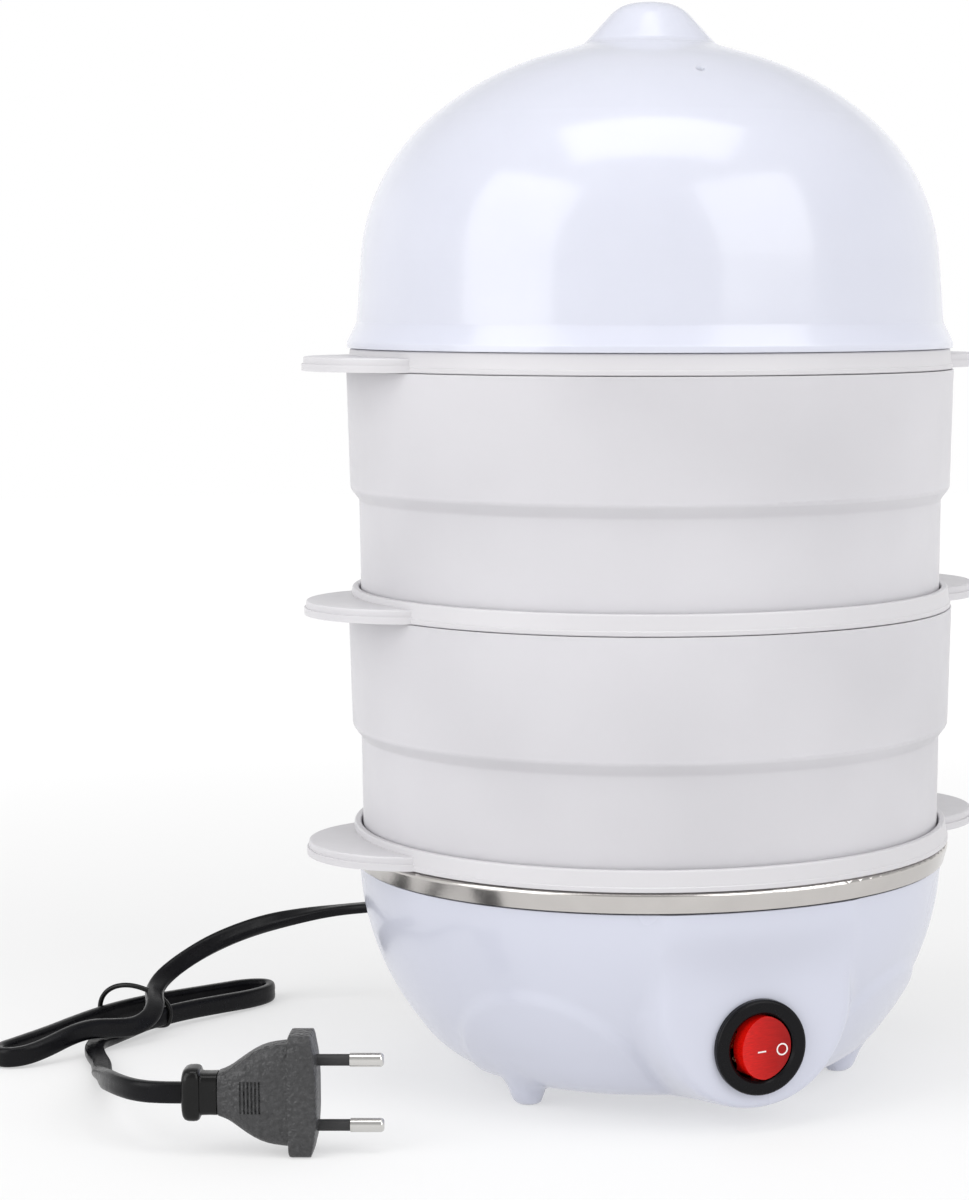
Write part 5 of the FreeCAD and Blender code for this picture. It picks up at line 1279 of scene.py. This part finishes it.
@dataclass(frozen=True)
class PlugMoulding:
    """The plug's flange and grained body, its smooth neck and the collar that the cord goes into.

    Attributes:
        place: Middle of the front face, in millimetres.
        angle_deg: Direction that the pins point in, from +X.
        body: Sections from the front face to the neck.
        collar: Sections of the neck and the collar.
        grooves: How many grip grooves each broad side has.
        pitch: Distance between grooves.
        groove_tall: Length of a groove.
        groove_wide: Width of a groove.
        groove_start: Distance of the middle of the grooves behind the front face.
        groove_floor: Distance of a groove's floor from the plug's middle.
        groove_top: Distance of the cutter's outer side from it.
        pin_spacing: Distance between the pins' axes.
        pin_bore: Radius of the holes for the sleeved pins.
        pin_reach: Where the holes' cutters start and end behind the front face.
        crease_deg: Edges that turn by more than this stay sharp.
    """

    place: Point = (-111.6, -50.8, 15.8)
    angle_deg: float = -22.0
    body: tuple[Section, ...] = (
        Section(0.0, 8.0, 3.2, 4.0, 0.12), Section(0.02, 12.2, 4.9, 6.0, 0.7),
        Section(0.12, 14.0, 5.5, 7.0, 1.1), Section(0.35, 15.2, 5.95, 8.0, 1.15),
        Section(0.8, 15.7, 6.15, 8.0, 0.9), Section(1.4, 15.8, 6.2, 8.0, 0.5),
        Section(4.0, 15.8, 6.2, 8.0), Section(6.6, 15.8, 6.2, 8.0), Section(7.1, 15.7, 6.1, 8.0),
        Section(7.4, 15.3, 5.9, 7.0), Section(7.42, 13.8, 5.55, 5.0), Section(7.8, 13.35, 5.35, 4.4),
        Section(9.0, 13.25, 5.4, 4.2), Section(11.0, 13.0, 5.5, 4.0), Section(12.8, 12.65, 5.55, 3.8),
        Section(14.6, 12.05, 5.55, 3.6), Section(16.4, 11.15, 5.55, 3.5), Section(18.2, 10.0, 5.5, 3.4),
        Section(19.8, 8.85, 5.35, 3.3), Section(21.0, 8.0, 5.1, 3.2), Section(22.0, 7.3, 4.7, 3.2),
        Section(23.0, 6.7, 4.35, 3.3), Section(24.2, 6.1, 4.15, 3.6), Section(25.4, 5.65, 4.05, 3.8),
        Section(25.6, 5.3, 3.8, 3.8),
    )
    collar: tuple[Section, ...] = (
        Section(25.6, 5.1, 3.7, 4.0), Section(25.75, 5.45, 3.95, 4.0), Section(27.6, 5.4, 3.9, 4.0),
        Section(29.6, 5.45, 3.95, 4.0), Section(29.9, 5.6, 4.05, 4.0), Section(30.05, 6.0, 4.3, 4.0),
        Section(30.3, 6.5, 4.6, 4.2), Section(30.8, 6.8, 4.75, 4.4), Section(31.6, 6.9, 4.8, 4.4),
        Section(33.0, 6.88, 4.78, 4.2), Section(33.9, 6.6, 4.6, 4.0), Section(34.45, 6.0, 4.1, 3.6),
        Section(34.75, 5.0, 3.3, 3.2), Section(34.8, 3.0, 2.0, 3.0),
    )
    grooves: int = 6
    pitch: float = 0.97
    groove_tall: float = 8.4
    groove_wide: float = 0.5
    groove_start: float = 17.0
    groove_floor: float = 4.95
    groove_top: float = 7.0
    pin_spacing: float = 17.0
    pin_bore: float = 1.52
    pin_reach: tuple[float, float] = (-2.0, 12.0)
    crease_deg: float = 42.0

    def put(self, back: float, across: float, up: float) -> Vector:
        """Returns the place in metres of a point given along, across and up the plug."""
        turn = math.radians(self.angle_deg)
        ahead = Vector((math.cos(turn), math.sin(turn), 0.0))
        beside = Vector((-math.sin(turn), math.cos(turn), 0.0))
        return (Vector(self.place) - ahead * back + beside * across + Vector((0.0, 0.0, up))) * MM

    def outline(self, section: Section, count: int = 96) -> list[Vector]:
        """Returns the points round one section."""
        points = []
        for step in range(count):
            turn = 2.0 * math.pi * (step + 0.5) / count
            across = math.copysign(abs(math.cos(turn)) ** (2.0 / section.square), math.cos(turn))
            up = math.copysign(abs(math.sin(turn)) ** (2.0 / section.square), math.sin(turn))
            back = section.back + section.crown * up * up
            points.append(self.put(back, across * section.wide, up * section.tall))
        return points

    def loft(self, name: str, sections: Sequence[Section], material: bpy.types.Material) -> bpy.types.Object:
        """Joins sections into one closed moulding.

        Args:
            name: Object name.
            sections: The sections in order.
            material: Its material.

        Returns:
            The moulding.
        """
        bench = bmesh.new()
        rings = [[bench.verts.new(point) for point in self.outline(section)] for section in sections]
        join_rings(bench, rings)
        return link_mesh(name, closed_mesh(bench, name), material, self.crease_deg)

    def groove_cutters(self) -> list[bpy.types.Object]:
        """Makes the cutters of the grip grooves and the pins' holes."""
        bench = bmesh.new()
        faces = ((0, 1, 3, 2), (4, 6, 7, 5), (0, 4, 5, 1), (2, 3, 7, 6), (0, 2, 6, 4), (1, 5, 7, 3))
        half_wide, half_tall = self.groove_wide / 2.0, self.groove_tall / 2.0
        for side in (-1.0, 1.0):
            for index in range(self.grooves):
                back = self.groove_start + (index - (self.grooves - 1) / 2.0) * self.pitch
                corners = [self.put(back + along, across, up)
                           for across in (self.groove_floor * side, self.groove_top * side)
                           for up in (-half_tall, half_tall) for along in (-half_wide, half_wide)]
                made = [bench.verts.new(corner) for corner in corners]
                for face in faces:
                    bench.faces.new([made[corner] for corner in face])
        grips = bpy.data.objects.new("GripCutter", closed_mesh(bench, "GripCutter"))
        bpy.context.scene.collection.objects.link(grips)
        cutters = [grips]
        for side in (-1.0, 1.0):
            start, end = (self.put(back, 0.0, side * self.pin_spacing / 2.0) for back in self.pin_reach)
            cutters.append(round_bar("PinCutter", start, end, self.pin_bore * MM, 48))
        return cutters

    def build(self, skin: bpy.types.Material, gloss: bpy.types.Material) -> list[bpy.types.Object]:
        """Makes the body and the collar.

        Args:
            skin: The grained plastic.
            gloss: The smooth black of the collar.

        Returns:
            Both pieces.
        """
        body = self.loft("PlugMoulding", self.body, skin)
        cut_away(body, self.groove_cutters())
        smooth_edges(body.data, self.crease_deg)
        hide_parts("plug_body")
        collar = self.loft("PlugCollar", self.collar, gloss)
        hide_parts("plug_strain_relief")
        for piece, slot in ((body, "plug_plastic"), (collar, "cord_black")):
            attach(piece, "base")
            report(piece)
        return [body, collar]


@dataclass(frozen=True)
class TwistTie:
    """The soft wire tie round the hank, twisted shut.

    Attributes:
        centre: Middle of the tie on the floor, in millimetres.
        angle_deg: Direction across the hank.
        radius: Radius of the wire.
        loop: Places round the loop as (across, along, up).
    """

    centre: tuple[float, float] = (-127.1, 94.8)
    angle_deg: float = -37.6
    radius: float = 0.75
    loop: tuple[Point, ...] = (
        (-10.4, 0.0, 3.0), (-10.8, 0.3, 5.6), (-8.6, 0.6, 8.8), (-4.0, 0.4, 11.2), (1.6, 0.0, 12.9),
        (7.2, -0.4, 12.4), (11.2, -0.5, 9.6), (12.6, -0.2, 5.4), (11.8, 0.0, 1.4), (6.0, 0.2, 0.85),
        (0.0, 0.2, 0.8), (-5.4, 0.1, 0.85), (-9.6, 0.0, 1.0),
    )

    def along(self) -> Vector:
        """Returns the direction along the hank."""
        turn = math.radians(self.angle_deg + 90.0)
        return Vector((math.cos(turn), math.sin(turn), 0.0))

    def put(self, place: Point) -> Point:
        """Returns in metres a place given across, along and up from the tie's middle."""
        along = self.along()
        across = Vector((-along.y, along.x, 0.0))
        middle = Vector((*self.centre, 0.0))
        return tuple((middle + across * place[0] + along * place[1] + Vector((0.0, 0.0, place[2]))) * MM)

    def build(self, material: bpy.types.Material) -> bpy.types.Object:
        """Makes the tie.

        Args:
            material: Its soft black.

        Returns:
            The tie.
        """
        line = smooth_line([self.put(place) for place in self.loop], order=4, steps=10, closed=True)
        mesh = swept_tube("TwistTie", line, self.radius * MM, True, self.along())
        tie = link_mesh("TwistTie", mesh, material, ALL_SMOOTH)
        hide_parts("cord_tie")
        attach(tie, "base")
        report(tie)
        return tie


@dataclass(frozen=True)
class RockerMarks:
    """The line and ring printed on the rocker.

    Attributes:
        pivot: The rocker's pivot, in millimetres.
        tilt_deg: The rocker's tilt at rest.
        face_rise: Distance from the pivot to the face's edge.
        hollow: Radius of the hollow of the face.
        half_width: Half the face's width.
        right: How far right of the face's middle the middle of both marks is.
        down: How far below it.
        aside: Distance of each mark from that place.
        line_half: Half the line's length.
        ring_radius: Radius of the ring.
        stroke: Radius of the strokes, which stand a little out of the face.
        sunk: How deep the strokes' middle is.
        line_steps: Straight pieces in the line, which follows the hollow face.
        ring_steps: Straight pieces in the ring.
    """

    pivot: Point = (0.0, -73.8, 23.0)
    tilt_deg: float = 10.0
    face_rise: float = 5.3
    hollow: float = 40.0
    half_width: float = 7.58
    right: float = 2.0
    down: float = 0.9
    aside: float = 3.1
    line_half: float = 1.3
    ring_radius: float = 1.45
    stroke: float = 0.24
    sunk: float = 0.13
    line_steps: int = 8
    ring_steps: int = 48

    def put(self, across: float, up: float) -> Vector:
        """Returns the place in metres of a point on the face, given across and up from its middle."""
        sag = math.sqrt(self.hollow ** 2 - across ** 2) - math.sqrt(self.hollow ** 2 - self.half_width ** 2)
        depth = -self.face_rise + sag + self.sunk
        turn = math.radians(self.tilt_deg)
        x = across * math.cos(turn) - depth * math.sin(turn)
        y = across * math.sin(turn) + depth * math.cos(turn)
        return (Vector(self.pivot) + Vector((x, y, up - self.down))) * MM

    def build(self, material: bpy.types.Material) -> list[bpy.types.Object]:
        """Makes both marks.

        Args:
            material: The white of the marks.

        Returns:
            The line and the ring.
        """
        line = [self.put(self.right - self.aside + self.line_half * (2.0 * step / self.line_steps - 1.0), 0.0)
                for step in range(self.line_steps + 1)]
        ring = []
        for step in range(self.ring_steps):
            turn = 2.0 * math.pi * step / self.ring_steps
            ring.append(self.put(self.right + self.aside + self.ring_radius * math.cos(turn),
                                 self.ring_radius * math.sin(turn)))
        marks = []
        for name, route, closed, beside in (("LineMark", line, False, Vector((0.0, 0.0, 1.0))),
                                            ("RingMark", ring, True, Vector((0.0, 1.0, 0.0)))):
            mesh = swept_tube(name, route, self.stroke * MM, closed, beside)
            marks.append(link_mesh(name, mesh, material, ALL_SMOOTH))
        for mark in marks:
            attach(mark, "rocker")
            report(mark)
        return marks


# Dressing of the carried-over parts

class PartGroups:
    """Which carried-over parts share which finish."""

    def __init__(self, shelf: FinishShelf, finishes: Finishes) -> None:
        """Keeps the shelf and the finishes."""
        self.shelf = shelf
        self.finishes = finishes

    def dress(self) -> None:
        """Dresses every carried-over part."""
        f = self.finishes
        groups = (
            (f.pan_steel, ("heating_pan",)),
            (f.seal_grey, ("pan_seal",)),
            (f.aluminium, ("heat_spreader_plate",)),
            (f.element_steel, ("heating_element",)),
            (f.bead_ceramic, ("element_end_seals",)),
            (f.zinc, ("element_terminals", "pan_weld_nuts", "pan_fixing_screws", "thermostat_bracket",
                      "thermostat_screws", "cord_clamp_screws", "thermal_fuse")),
            (f.phenolic_brown, ("thermostat_body",)),
            (f.brass, ("thermostat_terminals", "switch_terminals", "switch_contact_lever",
                       "wire_connectors")),
            (f.tray_white, ("egg_tray_lower", "egg_tray_middle", "egg_tray_upper")),
            (f.tier_milk, ("tier_lower", "tier_upper")),
            (f.lid_milk, ("lid_dome",)),
            (f.bezel_black, ("switch_housing", "switch_plunger")),
            (f.rocker_red, ("switch_rocker",)),
            (f.lamp_glass, ("switch_lamp",)),
            (f.bushing_black, ("cord_bushing",)),
            (f.cord_black, ("cord_inner_sheath",)),
            (f.clamp_black, ("cord_clamp", "plug_pin_sleeves")),
            (f.wire_brown, ("wire_live",)),
            (f.wire_blue, ("wire_neutral",)),
            (f.sleeve_white, ("wire_switch_to_thermostat", "wire_thermostat_to_fuse",
                              "wire_fuse_to_element")),
            (f.nickel, ("plug_pins",)),
        )
        for finish, names in groups:
            dress_nodes(self.shelf.take(finish), names)


def main() -> None:
    """Builds the camera, the cord, the shells and the studio, in that order."""
    logging.basicConfig(level=logging.INFO, format="%(name)s: %(message)s")
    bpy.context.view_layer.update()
    shelf = FinishShelf()
    finishes = Finishes()
    StudioCamera().build()
    cord_design = FlatCord()
    cord, line = cord_design.build(shelf.take(finishes.cord_black))
    plug = PlugMoulding().build(shelf.take(finishes.plug_charcoal), shelf.take(finishes.collar_black))
    tie = TwistTie().build(shelf.take(finishes.collar_black))
    PartGroups(shelf, finishes).dress()
    BaseShell().build(shelf.take(finishes.base_white))
    RockerMarks().build(shelf.take(finishes.mark_white))
    Studio().build()


if __name__ == "__main__":
    main()
